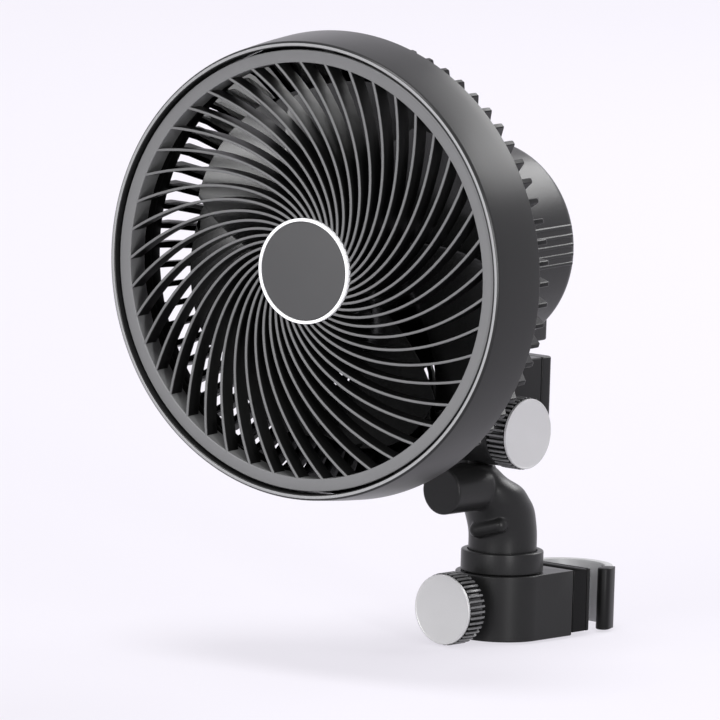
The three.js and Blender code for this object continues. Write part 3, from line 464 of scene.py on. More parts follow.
def narrow_end(edge):
    """Whether another edge leaves an end of this one at less than the angle NARROW from it."""
    ends = list(edge.verts)
    for corner, other_end in (ends, ends[::-1]):
        along = (other_end.co - corner.co).normalized()
        beside = [(e.other_vert(corner).co - corner.co).normalized() for e in corner.link_edges if e != edge]
        if any(along.dot(direction) > math.cos(NARROW) for direction in beside):
            return True
    return False


def mark_outer_edges(work):
    """Gives the bevel weight 1 to the sharp edges on the outside: from the middle of such an edge, both
    of its faces look out along their normals without meeting the solid again. Edges with a narrow end
    stay as they are, since rounding would pull a spike out of them."""
    work.normal_update()
    solid = BVHTree.FromBMesh(work)
    weight = work.edges.layers.float.new("bevel_weight_edge")
    for edge in work.edges:
        if len(edge.link_faces) != 2 or edge.calc_face_angle() < SHARP or narrow_end(edge):
            continue
        middle = (edge.verts[0].co + edge.verts[1].co) / 2
        lift = sum((face.normal for face in edge.link_faces), Vector()) * 1e-5
        looks = [solid.ray_cast(middle + lift, face.normal)[0] for face in edge.link_faces]
        edge[weight] = 1.0 if looks == [None, None] else 0.0


def eased(name, node, body, finish, width, replaced=()):
    """A copy of a solid with its corners merged, its flat faces made whole and its outer edges rounded by
    the given width in millimetres; faces are weighed by their area for the shading."""
    mesh = frame["nodes"][node].data.copy()
    mesh.name = name
    work = bmesh.new()
    work.from_mesh(mesh)
    bmesh.ops.remove_doubles(work, verts=work.verts, dist=1e-5)
    bmesh.ops.dissolve_limit(work, angle_limit=FLAT, verts=work.verts, edges=work.edges)
    mark_outer_edges(work)
    work.to_mesh(mesh)
    work.free()
    mesh.shade_smooth()
    mesh.materials.clear()
    mesh.materials.append(finish)
    obj = bpy.data.objects.new(name, mesh)
    bpy.context.scene.collection.objects.link(obj)
    edges = obj.modifiers.new("rounded edges", "BEVEL")
    edges.width = width * MM
    edges.segments = 3
    edges.limit_method = "WEIGHT"
    edges.use_clamp_overlap = False
    edges.miter_outer = "MITER_ARC"
    obj.modifiers.new("even shading", "WEIGHTED_NORMAL")
    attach(obj, body)
    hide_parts(node, *replaced)
    return obj


def pan_screw(node, axis, side, body, finish):
    """A pan head screw in place of a plain one, its head at the low end (side 1) or the high end (side -1)
    of the axis. The top of the head bulges by PAN_BULGE (1 - (r/R)^2). A cross is sunk in it along two
    diameters: full depth in its middle, none from CROSS_HALF beside them or CROSS_REACH out."""
    low, high = np.array(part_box(node)) / MM
    length = (high - low)[axis]
    r = np.linspace(NEAR_AXIS, PAN_R - 0.25, 22)[:, None]
    a = np.linspace(0, TURN, 64, endpoint=False)[None, :]
    x, y = r * np.cos(a), r * np.sin(a)
    away = np.minimum(np.abs(x), np.abs(y))
    cross = np.clip((CROSS_HALF - away) / 0.25, 0, 1) * np.clip((CROSS_REACH - r) / 0.3, 0, 1)
    top = np.stack([x, y, PAN_BULGE - PAN_BULGE * (1 - (r / PAN_R) ** 2) + CROSS_DEEP * cross], axis=-1)
    rim = np.array([
        [PAN_R - 0.1, 0.4], [PAN_R, 0.6], [PAN_R, PAN_THICK],
        [SHANK_R, PAN_THICK], [SHANK_R, length - 1.2], [0.3, length],
    ])
    ring = np.stack([rim[:, :1] * np.cos(a), rim[:, :1] * np.sin(a), rim[:, 1:] + 0 * a], axis=-1)
    end = (low + high) / 2
    end[axis] = low[axis] if side > 0 else high[axis]
    lie = lambda points: np.roll(points * np.array([1, 1, side]), axis + 1, axis=-1) + end
    piece(node + "_pan", shell(np.concatenate([top, ring])), lie, body, finish, [node])


# ------------------------------------------------------------------ head

def guard_vane():
    """One guard vane. Its middle line is a spiral whose angle grows with the logarithm of the radius.
    Round it runs a closed section: a low round front edge, half |cos|^0.6 wide and 0.35 (1 - sin) deep,
    then two sides that draw in to the back."""
    steps = 26
    inner, outer = HUB_R - 0.6, RING_INNER + 0.6
    r = inner * (outer / inner) ** np.linspace(0, 1, steps)
    rate = VANE_SWEEP / math.log((RING_INNER + 0.9) / (HUB_R - 1))
    a = math.pi / 2 - VANE_START + rate * np.log(r / (HUB_R - 1))
    middle = np.stack([r * np.cos(a), r * np.sin(a)], axis=1)
    slope = math.atan(rate)
    side = np.stack([-np.sin(a + slope), np.cos(a + slope)], axis=1)
    half = VANE_THICK / 2
    nose = np.linspace(math.pi, 0, 8)
    across = half * np.concatenate([np.sign(np.cos(nose)) * np.abs(np.cos(nose)) ** 0.6, [0.72, -0.72]])
    depth = np.concatenate([0.35 * (1 - np.sin(nose)), [VANE_DEPTH, VANE_DEPTH]])
    flat = middle[:, None] + across[None, :, None] * side[:, None]
    grid = np.empty((steps, len(across), 3))
    grid[..., 0], grid[..., 2] = flat[..., 0], flat[..., 1]
    grid[..., 1] = depth
    return shell(grid)


def front_guard(ring_finish, vane_finish):
    """The flat ring with a skirt behind its inner edge, and the vanes between it and the hub."""
    skirt_outer = RING_INNER + SKIRT_THICK
    ring = rounded([
        [RING_INNER, 0.0], [RING_OUTER, 0.0], [RING_OUTER, RING_THICK],
        [skirt_outer, RING_THICK], [skirt_outer, SKIRT_DEPTH], [RING_INNER, SKIRT_DEPTH],
    ], 0.45)
    hub = disc_profile(HUB_R, 1.3, HUB_DEPTH, 0.6)
    around = lambda profile, closed: lathe_y(turned(profile, 180, closed))
    piece("guard_ring", around(ring, True), from_head, "head", ring_finish, ["front_grille"])
    part = together(around(hub, False), copies(guard_vane(), spun(VANES)))
    piece("guard_vanes", part, from_head, "head", vane_finish)


def badge(face_finish, rim_finish):
    """The bare disc on the hub, and the pale ring round it."""
    face = lathe_y(turned(disc_profile(BADGE_R, -1.0, 0.9, 0.25), 120, False))
    piece("badge_face", face, from_head, "head", face_finish, ["badge_disc"])
    rim = lathe_y(turned(tube_profile(BADGE_R + 0.2, BADGE_R + BADGE_RIM, -1.3, 0.9, 0.25), 120))
    piece("badge_rim", rim, from_head, "head", rim_finish, ["badge_ring"])


def shroud(finish):
    """The outer rim: a lip ahead of the ring, and a skin that flares towards the back, 62 percent of it
    in its front half. Its inside runs straight from the back edge to the ring."""
    back_r = LIP_R + SHROUD_FLARE
    profile = rounded([
        [LIP_INNER, -LIP_PROUD + 0.5], [LIP_INNER + 0.5, -LIP_PROUD], [LIP_R - 0.9, -LIP_PROUD],
        [LIP_R, -LIP_PROUD + 0.9],
        [LIP_R + 0.62 * SHROUD_FLARE, 0.5 * SHROUD_DEPTH], [back_r, SHROUD_DEPTH - 0.6],
        [back_r - 0.6, SHROUD_DEPTH], [back_r - SHROUD_WALL, SHROUD_DEPTH], [LIP_INNER, RING_THICK + 1],
    ], [0.2, 0.2, 0.3, 0.5, 6.0, 0.2, 0.2, 0.5, 0.5], 5)
    piece("shroud_skin", lathe_y(turned(profile, 220)), from_head, "head", finish, ["shroud"])


def rear_rib():
    """One rib: its outline in radius and depth with round corners, as thick as a rib, its edges rounded."""
    outline = rounded([
        [KNEE_R, SHROUD_DEPTH + 0.6], [KNEE_R, KNEE_DEPTH], [MID_R, MID_DEPTH],
        [PLATE_R - 1, PLATE_DEPTH - 0.4], [PLATE_R - 1, PLATE_DEPTH - PLATE_THICK + 0.4],
        [MID_R - 1.4, MID_DEPTH - RIB_DEEP], [KNEE_R - RIB_DEEP, KNEE_DEPTH - RIB_DEEP / 2],
        [KNEE_R - RIB_DEEP, SHROUD_DEPTH + 0.6],
    ], [0.2, 0.9, 3.0, 0.2, 0.2, 3.0, 1.5, 0.2], 3)
    return moulded(outline, -RIB_THICK / 2, RIB_THICK / 2, 0.35, 1)


def rear_guard(finish):
    """The ribs, a ring at their root and one at their bend, and the plate that carries the motor."""
    ribs = copies(rear_rib(), spun(RIBS))
    sides = 4 * RIBS
    knee = tube_profile(KNEE_R - RIB_DEEP - 0.4, KNEE_R + 0.3, SHROUD_DEPTH - 5, SHROUD_DEPTH + 1.6, 0.4)
    middle = tube_profile(MID_R - 4, MID_R - 1.8, MID_DEPTH - RIB_DEEP - 0.8, MID_DEPTH - 1.6, 0.4)
    plate = tube_profile(9.0, PLATE_R, PLATE_DEPTH - PLATE_THICK, PLATE_DEPTH, 0.5)
    rings = [lathe_y(turned(profile, sides)) for profile in (knee, middle, plate)]
    piece("rear_guard", together(ribs, *rings), from_head, "head", finish, ["rear_grille"])


# ------------------------------------------------------------------ fan wheel

def fan_blade():
    """One blade. u runs from the hub to the tip, v once round a thin section, and c = cos(v) / 2 along
    its chord. The chord turns by BLADE_SPREAD about the axis while it falls from front to back, bellied
    by BLADE_BELLY (1 - (2c)^2) u, and its ends draw in by a tenth at the tip, so that the outline is
    round. The thickness is that of an ellipse, and the fall lessens by 42 percent to the tip."""
    u = np.linspace(0, 1, 18)[:, None]
    v = np.linspace(0, TURN, 44, endpoint=False)[None, :]
    c = 0.5 * np.cos(v)
    ellipse = np.sqrt(np.maximum(1 - (2 * c) ** 2, 0))
    thick = BLADE_THICK * ellipse * 0.5 * np.sign(np.sin(v)) * (1 - 0.35 * u)
    root = WHEEL_HUB_R - 1.5
    r = root + (BLADE_TIP - root) * u * (1 - 0.1 * (2 * c) ** 2 * u)
    spread = np.radians(BLADE_SPREAD[0] + (BLADE_SPREAD[1] - BLADE_SPREAD[0]) * u)
    a = c * spread + np.radians(BLADE_LEAN) * u
    rise = (BLADE_BACK - BLADE_FRONT) * (1 - 0.42 * u)
    belly = BLADE_BELLY * (1 - (2 * c) ** 2) * u
    depth = (BLADE_FRONT + BLADE_BACK) / 2 + c * rise + thick + belly
    grid = np.stack([r * np.cos(a), depth + 0 * a, -r * np.sin(a)], axis=-1)
    return shell(grid)


def fan_wheel(finish):
    """The blades on a cup with a sleeve for the shaft in its middle."""
    cup_r, sleeve_r = WHEEL_HUB_R - 2.4, 8
    hub = rounded([
        [SHAFT_BORE, BLADE_FRONT - 2], [WHEEL_HUB_R - 5, BLADE_FRONT - 2], [WHEEL_HUB_R, BLADE_FRONT + 3],
        [WHEEL_HUB_R, BLADE_BACK + 2], [cup_r, BLADE_BACK + 2], [cup_r, BLADE_FRONT + 4],
        [sleeve_r, BLADE_FRONT + 1.5], [sleeve_r, BLADE_BACK - 8], [SHAFT_BORE, BLADE_BACK - 8],
    ], [0.3, 3, 3, 0.5, 0.5, 2, 1, 0.5, 0.3])
    part = together(lathe_y(turned(hub, 96)), copies(fan_blade(), spun(BLADES)))
    piece("fan_wheel", part, from_head, "rotor", finish, ["impeller"])


# ------------------------------------------------------------------ motor cover

def grip_ridge(z, side):
    """One ridge on the side of the motor cover: a bar that runs back along it, its middle 0.5 under
    the skin, and fades out at its front end. Its section is the ellipse (GRIP_HIGH cos a,
    GRIP_HALF sin a), bent round the cover."""
    back = COVER_BACK - COVER_ROUND
    depth = np.linspace(back - GRIP_LONG, back + 1.5, 16)
    fade = np.clip((depth - depth[0]) / 2.0, 0.02, 1)[:, None]
    a = np.linspace(0, TURN, 12, endpoint=False)[None, :]
    out = COVER_R - 0.5 + GRIP_HIGH * np.cos(a) * fade
    at = z / COVER_R + GRIP_HALF * np.sin(a) / COVER_R
    x, height = side * out * np.cos(at), out * np.sin(at)
    return shell(np.stack([x, depth[:, None] + 0 * a, height], axis=-1))


def motor_cover(finish, rubber):
    """The cup over the motor with its grip ridges, and the rubber gland in its back."""
    front = PLATE_DEPTH + GAP
    cup = rounded([
        [COVER_R - COVER_WALL, front], [COVER_R, front], [COVER_R, COVER_BACK], [NEAR_AXIS, COVER_BACK],
        [NEAR_AXIS, COVER_BACK - COVER_WALL], [COVER_R - COVER_WALL, COVER_BACK - COVER_WALL],
    ], [0.5, 0.5, COVER_ROUND, 0, 0, COVER_ROUND], 10)
    heights = GRIP_MIDDLE + GRIP_PITCH * (np.arange(GRIPS) - (GRIPS - 1) / 2)
    ridges = [grip_ridge(z, side) for z in heights for side in (-1, 1)]
    part = together(lathe_y(turned(cup, 144)), *ridges)
    piece("motor_cover_skin", part, from_head, "head", finish, ["motor_cover"])
    back = COVER_BACK - COVER_WALL
    flange_r = GLAND_R + GLAND_FLANGE
    profile = rounded([
        [GLAND_BORE, back - 2], [flange_r, back - 2], [flange_r, back - GAP], [GLAND_R, back - GAP],
        [GLAND_R, COVER_BACK + GAP], [flange_r, COVER_BACK + GAP], [GLAND_R + 1.2, COVER_BACK + 3],
        [GLAND_R - 1.2, back + 7], [GLAND_BORE, back + 7],
    ], 0.4)
    gland = laid(turned(profile, 48), lambda points: axis_y(points) + np.array([0, 0, GLAND_Z]))
    piece("gland", gland, from_head, "head", rubber, ["cable_gland"])


# ------------------------------------------------------------------ neck and gearbox

def neck(finish):
    """The box of the neck, with the round foot on which it turns."""
    half = NECK_DEEP / 2
    box = moulded(box_plan(-BOX_HALF, BOX_HALF, -half, half, BOX_CORNER), NECK_LOW, NECK_HIGH, 0.9)
    foot_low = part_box("neck")[0][2] / MM - STEM_AT[2]
    foot = turned(disc_profile(PIVOT_R, foot_low, NECK_LOW + 1, 0.3), 72, False)
    piece("neck_case", together(box, foot), from_swing, "head", finish, ["neck"])


def gearbox(finish, steel):
    """The two halves of the gearbox with round edges, and the two screws of its lid."""
    eased("gearbox_case", "gearbox_shell", "gearbox", finish, 0.8)
    eased("gearbox_lid", "gearbox_cover", "gearbox", finish, 0.8)
    for node in ("gearbox_screw_1", "gearbox_screw_2"):
        pan_screw(node, 1, -1, "gearbox", steel)


# ------------------------------------------------------------------ knobs

def knob_grip():
    """The toothed rim of a knob: its radius is KNOB_ROOT + (KNOB_R - KNOB_ROOT) s, where s is
    0.5 + 1.9 cos(teeth a) cut off at 0 and 1, pulled in at both faces by a small round edge."""
    a = np.linspace(0, TURN, KNOB_TEETH * 12, endpoint=False)
    tooth = np.clip(0.5 + 1.9 * np.cos(KNOB_TEETH * a), 0, 1)
    heights = np.array([0, 0.15, 0.6, KNOB_THICK - 0.6, KNOB_THICK - 0.15, KNOB_THICK])
    inset = np.array([0.6, 0.2, 0, 0, 0.2, 0.5])
    r = KNOB_ROOT + (KNOB_R - KNOB_ROOT) * tooth[None, :] - inset[:, None]
    grid = np.stack([r * np.cos(a), r * np.sin(a), heights[:, None] + 0 * r], axis=-1)
    return shell(grid)


def knob(name, lay, body, painted_highlight_grip, disc_finish, nodes):
    """A knob whose axis is laid by the function lay: the toothed grip, and the silver disc on its face."""
    piece(name + "_grip", laid(knob_grip(), lay), from_stem, body, painted_highlight_grip, nodes[:1])
    low = KNOB_THICK + GAP
    top = low + CAP_THICK
    profile = rounded([
        [NEAR_AXIS, low], [CAP_R, low], [CAP_R, top], [CAP_R - 0.55, top],
        [CAP_R - 0.75, top - CAP_SUNK], [NEAR_AXIS, top - CAP_SUNK],
    ], [0, 0.2, 0.3, 0.1, 0.1, 0], closed=False)
    disc = laid(turned(profile, 120, False), lay)
    piece(name + "_disc", disc, from_stem, body, disc_finish, nodes[1:])


def knobs(tilt_finish, clamp_finish, disc_finish):
    """The knob of the tilt joint, its axis to the right, and that of the clamp, its axis to the front."""
    tilt = lambda points: axis_x(points, (TILT_Y, TILT_Z)) + np.array([BOX_HALF + 2 * GAP, 0, 0])
    knob("tilt", tilt, "tilt_handle", tilt_finish, disc_finish, ["tilt_knob", "tilt_knob_cap"])
    flip = np.array([1, -1, 1])
    clamp = lambda points: axis_y(points) * flip + np.array([0, KNOB_BACK, SCREW_Z])
    knob("clamp", clamp, "clamp_handle", clamp_finish, disc_finish, ["clamp_knob", "clamp_knob_cap"])


# ------------------------------------------------------------------ elbow

def bent_tube():
    """The tube of the elbow: level circles whose middles move forward while they rise, (r cos a,
    y + r sin a, z), with y, z and r on a smooth row through the stations."""
    stations = [
        [-1.3, 0, TUBE_R], [8, 0, TUBE_R], [17, -0.2, TUBE_R], [24.5, -2.2, TUBE_R + 0.4],
        [28.5, -3.9, TUBE_R + 0.5], [32, -6.2, TUBE_R + 0.2], [37, -9.2, TUBE_R - 1.2], [41.5, -14, 10.2],
        [46, -17.6, COLUMN_R + 0.2],
    ]
    z, y, r = through(stations, 6).T
    a = np.linspace(0, TURN, 72, endpoint=False)[None, :]
    z, y, r = z[:, None], y[:, None], r[:, None]
    return shell(np.stack([r * np.cos(a), y + r * np.sin(a), z + 0 * a], axis=-1))


def lug():
    """The sloping lug on the front of the tube: a capsule, its circles of radius LUG_R cos w at LUG_R
    sin w past its two ends, tilted by the slope and turned by the yaw round the tube."""
    w = np.linspace(-math.pi / 2, math.pi / 2, 15)
    along = (LUG_HALF * np.sign(w) * (np.abs(w) > 1e-6) + LUG_R * np.sin(w))[:, None]
    radius = np.maximum(LUG_R * np.cos(w), NEAR_AXIS)[:, None]
    a = np.linspace(0, TURN, 24, endpoint=False)[None, :]
    x, y, z = along + 0 * a, radius * np.cos(a), radius * np.sin(a)
    c, s = math.cos(LUG_SLOPE), math.sin(LUG_SLOPE)
    x, z = c * x - s * z, s * x + c * z
    c, s = math.cos(LUG_YAW), math.sin(LUG_YAW)
    x, y = c * x - s * y, s * x + c * y
    return shell(np.stack([x + TUBE_R * s, y - TUBE_R * c, z + LUG_AT], axis=-1))


def elbow(finish):
    """The elbow as one skin: the bent tube on its foot, the column and the web under the tilt joint, the
    ear with a hollow for the head of the bolt, the boss and the lug."""
    upright = turned(disc_profile(COLUMN_R, COLUMN_LOW, TILT_Z - BARREL_R - 0.4, 2.2), 64, False)
    column = laid(upright, lambda points: points + np.array([0, TILT_Y, 0]))
    boss = laid(turned(disc_profile(BOSS_R, BOSS_FRONT, TILT_Y, 0.9), 72, False),
                lambda points: axis_y(points, (0, BOSS_Z)))
    hollow, ear_right = EAR_LEFT + EAR_HOLLOW_DEEP, EAR_SPLIT - 1.6
    ear_profile = rounded([
        [EAR_HOLLOW_R, EAR_LEFT], [BARREL_R, EAR_LEFT], [BARREL_R, ear_right],
        [EAR_BORE, ear_right], [EAR_BORE, hollow], [EAR_HOLLOW_R, hollow],
    ], [0.4, 0.8, 0.4, 0.2, 0.2, 0.2])
    ear = laid(turned(ear_profile, 96), lambda points: axis_x(points, (TILT_Y, TILT_Z)))
    web_plan = box_plan(EAR_LEFT + 0.5, 1, TILT_Y - COLUMN_R, TILT_Y + COLUMN_R, 2)
    web = moulded(web_plan, WEB_LOW, WEB_HIGH, 0.6)
    foot = turned(disc_profile(FOOT_R, FOOT_LOW, -GAP, 0.3), 72, False)
    parts = together(bent_tube(), column, boss, ear, web, lug(), foot)
    skin = piece("elbow_skin", parts, from_stem, "elbow_arm", finish, ["elbow"], 60)
    merged(skin, 0.45, 8)


# ------------------------------------------------------------------ clamp

def clamp_block(finish, steel):
    """The block, the plate under it, the collar on it, and the screws of the plate and of the hook."""
    eased("block_case", "clamp_block", "clamp", finish, 0.7)
    eased("base_plate", "clamp_base_cover", "clamp", finish, 0.3)
    collar = tube_profile(TUBE_R + GAP, COLLAR_R, GAP, COLLAR_HIGH, [0.2, 0.4, 0.9, 0.4])
    piece("collar", turned(collar, 120), from_stem, "clamp", finish, ["swivel_collar"])
    for node in ("base_screw_1", "base_screw_2", "base_screw_3"):
        pan_screw(node, 2, 1, "clamp", steel)
    for node in ("hook_screw_1", "hook_screw_2"):
        pan_screw(node, 0, 1, "clamp", steel)


def clamp_screw(steel):
    """The threaded rod with the button that pushes the jaw. The radius falls and rises once a pitch
    along the rod, by THREAD_DEEP |2p - 1|, where p is what is left of (place / pitch - angle / turn)
    past a whole number; its two ends are plain."""
    low, high = np.array(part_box("clamp_screw")) / MM - STEM_AT
    start, stop = low[1], high[1] - 3.5
    along_it = np.linspace(start, stop, 260)
    a = np.linspace(0, TURN, 36, endpoint=False)
    phase = (along_it[:, None] / THREAD_PITCH - a[None] / TURN) % 1.0
    cut = THREAD_DEEP * np.abs(2 * phase - 1)
    ease = np.clip(np.minimum(along_it - start, stop - along_it) / 1.0, 0, 1)[:, None]
    r = SCREW_R - 0.05 - cut * ease
    grid = np.stack([r * np.cos(a), 0 * r + along_it[:, None], r * np.sin(a) + SCREW_Z], axis=-1)
    button = laid(turned(disc_profile(BUTTON_R, high[1] - BUTTON_THICK, high[1], 0.5), 48, False),
                  lambda points: axis_y(points, (0, SCREW_Z)))
    part = together(shell(grid), button)
    piece("threaded_rod", part, from_stem, "clamp_handle", steel, ["clamp_screw"])


def hook_plan(inner, outer, stop):
    """The plan of the hook: an arm that runs into an arc round the pole, as far as the angle stop."""
    middle = (0, POLE_Y)
    around_in = arc(middle, inner, stop, math.pi, 40)
    around_out = arc(middle, outer, math.pi, stop, 48)
    arm = np.array([[-inner, HOOK_ROOT], [-outer, HOOK_ROOT]])
    return np.concatenate([around_in, arm, around_out])[::-1]


def hook(finish, rubber):
    """The hook, and the rubber sleeve on its end, which runs on round the pole to a round nose."""
    part = moulded(hook_plan(HOOK_INNER, HOOK_OUTER, HOOK_END), HOOK_LOW, HOOK_TOP, 0.35, 3)
    piece("hook", part, from_stem, "clamp", finish, ["clamp_hook"])
    middle = (HOOK_INNER - 0.3 + HOOK_OUTER) / 2
    inner, outer = middle - TIP_THICK / 2, middle + TIP_THICK / 2
    start = HOOK_END - math.radians(1)
    nose_at = (middle * math.cos(TIP_END), POLE_Y + middle * math.sin(TIP_END))
    nose = arc(nose_at, TIP_THICK / 2, TIP_END - math.pi, TIP_END, 14)
    plan = np.concatenate([nose, arc((0, POLE_Y), outer, TIP_END, start, 10)[1:],
                           arc((0, POLE_Y), inner, start, TIP_END, 10)[:-1]])
    tip = moulded(plan, HOOK_LOW - TIP_DROP, HOOK_TOP, 0.6, 3)
    piece("hook_tip_sleeve", tip, from_stem, "clamp", rubber, ["hook_tip"])


def jaw(finish, rubber):
    """The jaw with round edges, and the rubber pad on its face."""
    back = BLOCK_BACK + GAP
    eased("jaw", "clamp_jaw", "jaw", finish, 0.6)
    pad_back = back + JAW_THICK + GAP
    pad = moulded(box_plan(JAW_LEFT, BLOCK_R, pad_back, pad_back + PAD_THICK, 0.6), JAW_LOW, 0, 0.5)
    piece("pad", pad, from_stem, "jaw", rubber, ["jaw_pad"])


# ------------------------------------------------------------------ shader helpers

def shader(name):
    """A new material and its node tree, with the Principled shader as it comes."""
    material = bpy.data.materials.new(name)
    material.use_nodes = True
    return material, material.node_tree, material.node_tree.nodes["Principled BSDF"]


def add(tree, kind, **values):
    """A node, with values set on its properties or, where the name is a socket's, on the socket."""
    node = tree.nodes.new(kind)
    for key, value in values.items():
        name = key.replace("_", " ")
        if hasattr(node, key):
            setattr(node, key, value)
        else:
            node.inputs[name].default_value = value
    return node


def wire(tree, *rows):
    """Links the nodes of a tree; each row is a node, its output, the next node and its input."""
    for giver, output, taker, socket in rows:
        tree.links.new(giver.outputs[output], taker.inputs[socket])


def placed_group(tree, shared, **values):
    """A shared group placed in a material, with its own values."""
    node = tree.nodes.new("ShaderNodeGroup")
    node.node_tree = shared
    for label, value in values.items():
        node.inputs[label].default_value = value
    return node


def group(name, inputs, outputs):
    """An empty shader group with the named sockets: {name: (kind, default)} in, {name: kind} out."""
    tree = bpy.data.node_groups.new(name, "ShaderNodeTree")
    for label, (kind, default) in inputs.items():
        socket = tree.interface.new_socket(label, in_out="INPUT", socket_type=kind)
        socket.default_value = default
    for label, kind in outputs.items():
        tree.interface.new_socket(label, in_out="OUTPUT", socket_type=kind)
    return tree, tree.nodes.new("NodeGroupInput"), tree.nodes.new("NodeGroupOutput")


NUMBER, COLOUR, VECTOR = "NodeSocketFloat", "NodeSocketColor", "NodeSocketVector"


def grain_group():
    """Moulded grain: a fine bump of noise, with a broad slow drift of roughness over it."""
    tree, given, out = group(
        "moulded_grain",
        {"Scale": (NUMBER, 900.0), "Depth": (NUMBER, 0.3), "Rough": (NUMBER, 0.5), "Drift": (NUMBER, 0.08)},
        {"Normal": VECTOR, "Roughness": NUMBER},
    )
    place = add(tree, "ShaderNodeTexCoord")
    fine = add(tree, "ShaderNodeTexNoise", Detail=3.0, Roughness=0.6)
    broad = add(tree, "ShaderNodeTexNoise", Scale=34.0, Detail=3.0)
    bump = add(tree, "ShaderNodeBump", Distance=0.00012)
    spread = add(tree, "ShaderNodeMath", operation="SUBTRACT")
    spread.inputs[1].default_value = 0.5
    amount = add(tree, "ShaderNodeMath", operation="MULTIPLY")
    total = add(tree, "ShaderNodeMath", operation="ADD", use_clamp=True)
    wire(
        tree,
        (place, "Object", fine, "Vector"),
        (place, "Object", broad, "Vector"),
        (given, "Scale", fine, "Scale"),
        (given, "Depth", bump, "Strength"),
        (fine, "Fac", bump, "Height"),
        (broad, "Fac", spread, 0),
        (spread, 0, amount, 0),
        (given, "Drift", amount, 1),
        (amount, 0, total, 0),
        (given, "Rough", total, 1),
        (bump, "Normal", out, "Normal"),
        (total, 0, out, "Roughness"),
    )
    return tree


def tone_group():
    """Uneven tone: a colour that drifts to a second one with broad noise, and gathers fine dust on top."""
    tree, given, out = group(
        "uneven_tone",
        {"Colour": (COLOUR, (0.1, 0.1, 0.1, 1)), "Second": (COLOUR, (0.2, 0.2, 0.2, 1)),
         "Scale": (NUMBER, 60.0), "Dust": (NUMBER, 0.1)},
        {"Colour": COLOUR},
    )
    place = add(tree, "ShaderNodeTexCoord")
    drift = add(tree, "ShaderNodeTexNoise", Detail=5.0, Roughness=0.55)
    mix = add(tree, "ShaderNodeMix", data_type="RGBA")
    facing = add(tree, "ShaderNodeNewGeometry")
    split = add(tree, "ShaderNodeSeparateXYZ")
    up = add(tree, "ShaderNodeMapRange")
    up.inputs["From Min"].default_value = 0.4
    speck = add(tree, "ShaderNodeTexNoise", Scale=420.0, Detail=2.0)
    settled = add(tree, "ShaderNodeMath", operation="MULTIPLY")
    weight = add(tree, "ShaderNodeMath", operation="MULTIPLY")
    dusty = add(tree, "ShaderNodeMix", data_type="RGBA")
    dusty.inputs["B"].default_value = (0.45, 0.44, 0.42, 1)
    wire(
        tree,
        (place, "Object", drift, "Vector"),
        (place, "Object", speck, "Vector"),
        (given, "Scale", drift, "Scale"),
        (drift, "Fac", mix, "Factor"),
        (given, "Colour", mix, "A"),
        (given, "Second", mix, "B"),
        (facing, "Normal", split, 0),
        (split, "Z", up, "Value"),
        (up, "Result", settled, 0),
        (speck, "Fac", settled, 1),
        (settled, 0, weight, 0),
        (given, "Dust", weight, 1),
        (weight, 0, dusty, "Factor"),
        (mix, "Result", dusty, "A"),
        (dusty, "Result", out, "Colour"),
    )
    return tree


GRAIN = grain_group()
TONE = tone_group()
TONE_SCALE = 60.0


def surface(name, colour, second, rough, scale=900.0, depth=0.3, drift=0.08, dust=0.0, **shader_values):
    """A finish from the two groups: its tone, its grain and roughness, and constants on the shader."""
    material, tree, principled = shader(name)
    tone = placed_group(tree, TONE, Colour=(*colour, 1), Second=(*second, 1), Scale=TONE_SCALE, Dust=dust)
    grain = placed_group(tree, GRAIN, Scale=scale, Depth=depth, Rough=rough, Drift=drift)
    wire(
        tree,
        (tone, "Colour", principled, "Base Color"),
        (grain, "Roughness", principled, "Roughness"),
        (grain, "Normal", principled, "Normal"),
    )
    for key, value in shader_values.items():
        principled.inputs[key.replace("_", " ")].default_value = value
    return material


def grey(level):
    """A grey with a trace of blue."""
    return (level, level * 1.005, level * 1.015)


def front_group():
    """How deep a point lies behind the front ring: 0 at Near metres and 1 at Far, from the place along
    the fan axis."""
    tree, given, out = group(
        "behind_the_ring",
        {"Near": (NUMBER, 0.0), "Far": (NUMBER, 0.001)},
        {"Depth": NUMBER},
    )
    place = add(tree, "ShaderNodeTexCoord")
    along = add(tree, "ShaderNodeVectorMath", operation="DOT_PRODUCT")
    along.inputs[1].default_value = tuple(-FAN_WAY)
    ring = from_head(np.zeros(3)) * MM
    depth = add(tree, "ShaderNodeMath", operation="SUBTRACT")
    depth.inputs[1].default_value = float(ring @ -FAN_WAY)
    reach = add(tree, "ShaderNodeMapRange")
    wire(
        tree,
        (given, "Near", reach, "From Min"),
        (given, "Far", reach, "From Max"),
        (place, "Object", along, 0),
        (along, "Value", depth, 0),
        (depth, 0, reach, "Value"),
        (reach, "Result", out, "Depth"),
    )
    return tree


def axis_group():
    """How far a point lies from an axis: 0 at Near metres and 1 at Far. Middle is a point on the axis,
    and Across is 1 for the two directions square to it."""
    tree, given, out = group(
        "off_the_axis",
        {"Middle": (VECTOR, (0, 0, 0)), "Across": (VECTOR, (1, 1, 1)),
         "Near": (NUMBER, 0.0), "Far": (NUMBER, 0.001)},
        {"Distance": NUMBER},
    )
    place = add(tree, "ShaderNodeTexCoord")
    away = add(tree, "ShaderNodeVectorMath", operation="SUBTRACT")
    level = add(tree, "ShaderNodeVectorMath", operation="MULTIPLY")
    length = add(tree, "ShaderNodeVectorMath", operation="LENGTH")
    reach = add(tree, "ShaderNodeMapRange")
    wire(
        tree,
        (place, "Object", away, 0),
        (given, "Middle", away, 1),
        (away, "Vector", level, 0),
        (given, "Across", level, 1),
        (level, "Vector", length, 0),
        (length, "Value", reach, "Value"),
        (given, "Near", reach, "From Min"),
        (given, "Far", reach, "From Max"),
        (reach, "Result", out, "Distance"),
    )
    return tree


FRONT = front_group()
AXIS = axis_group()


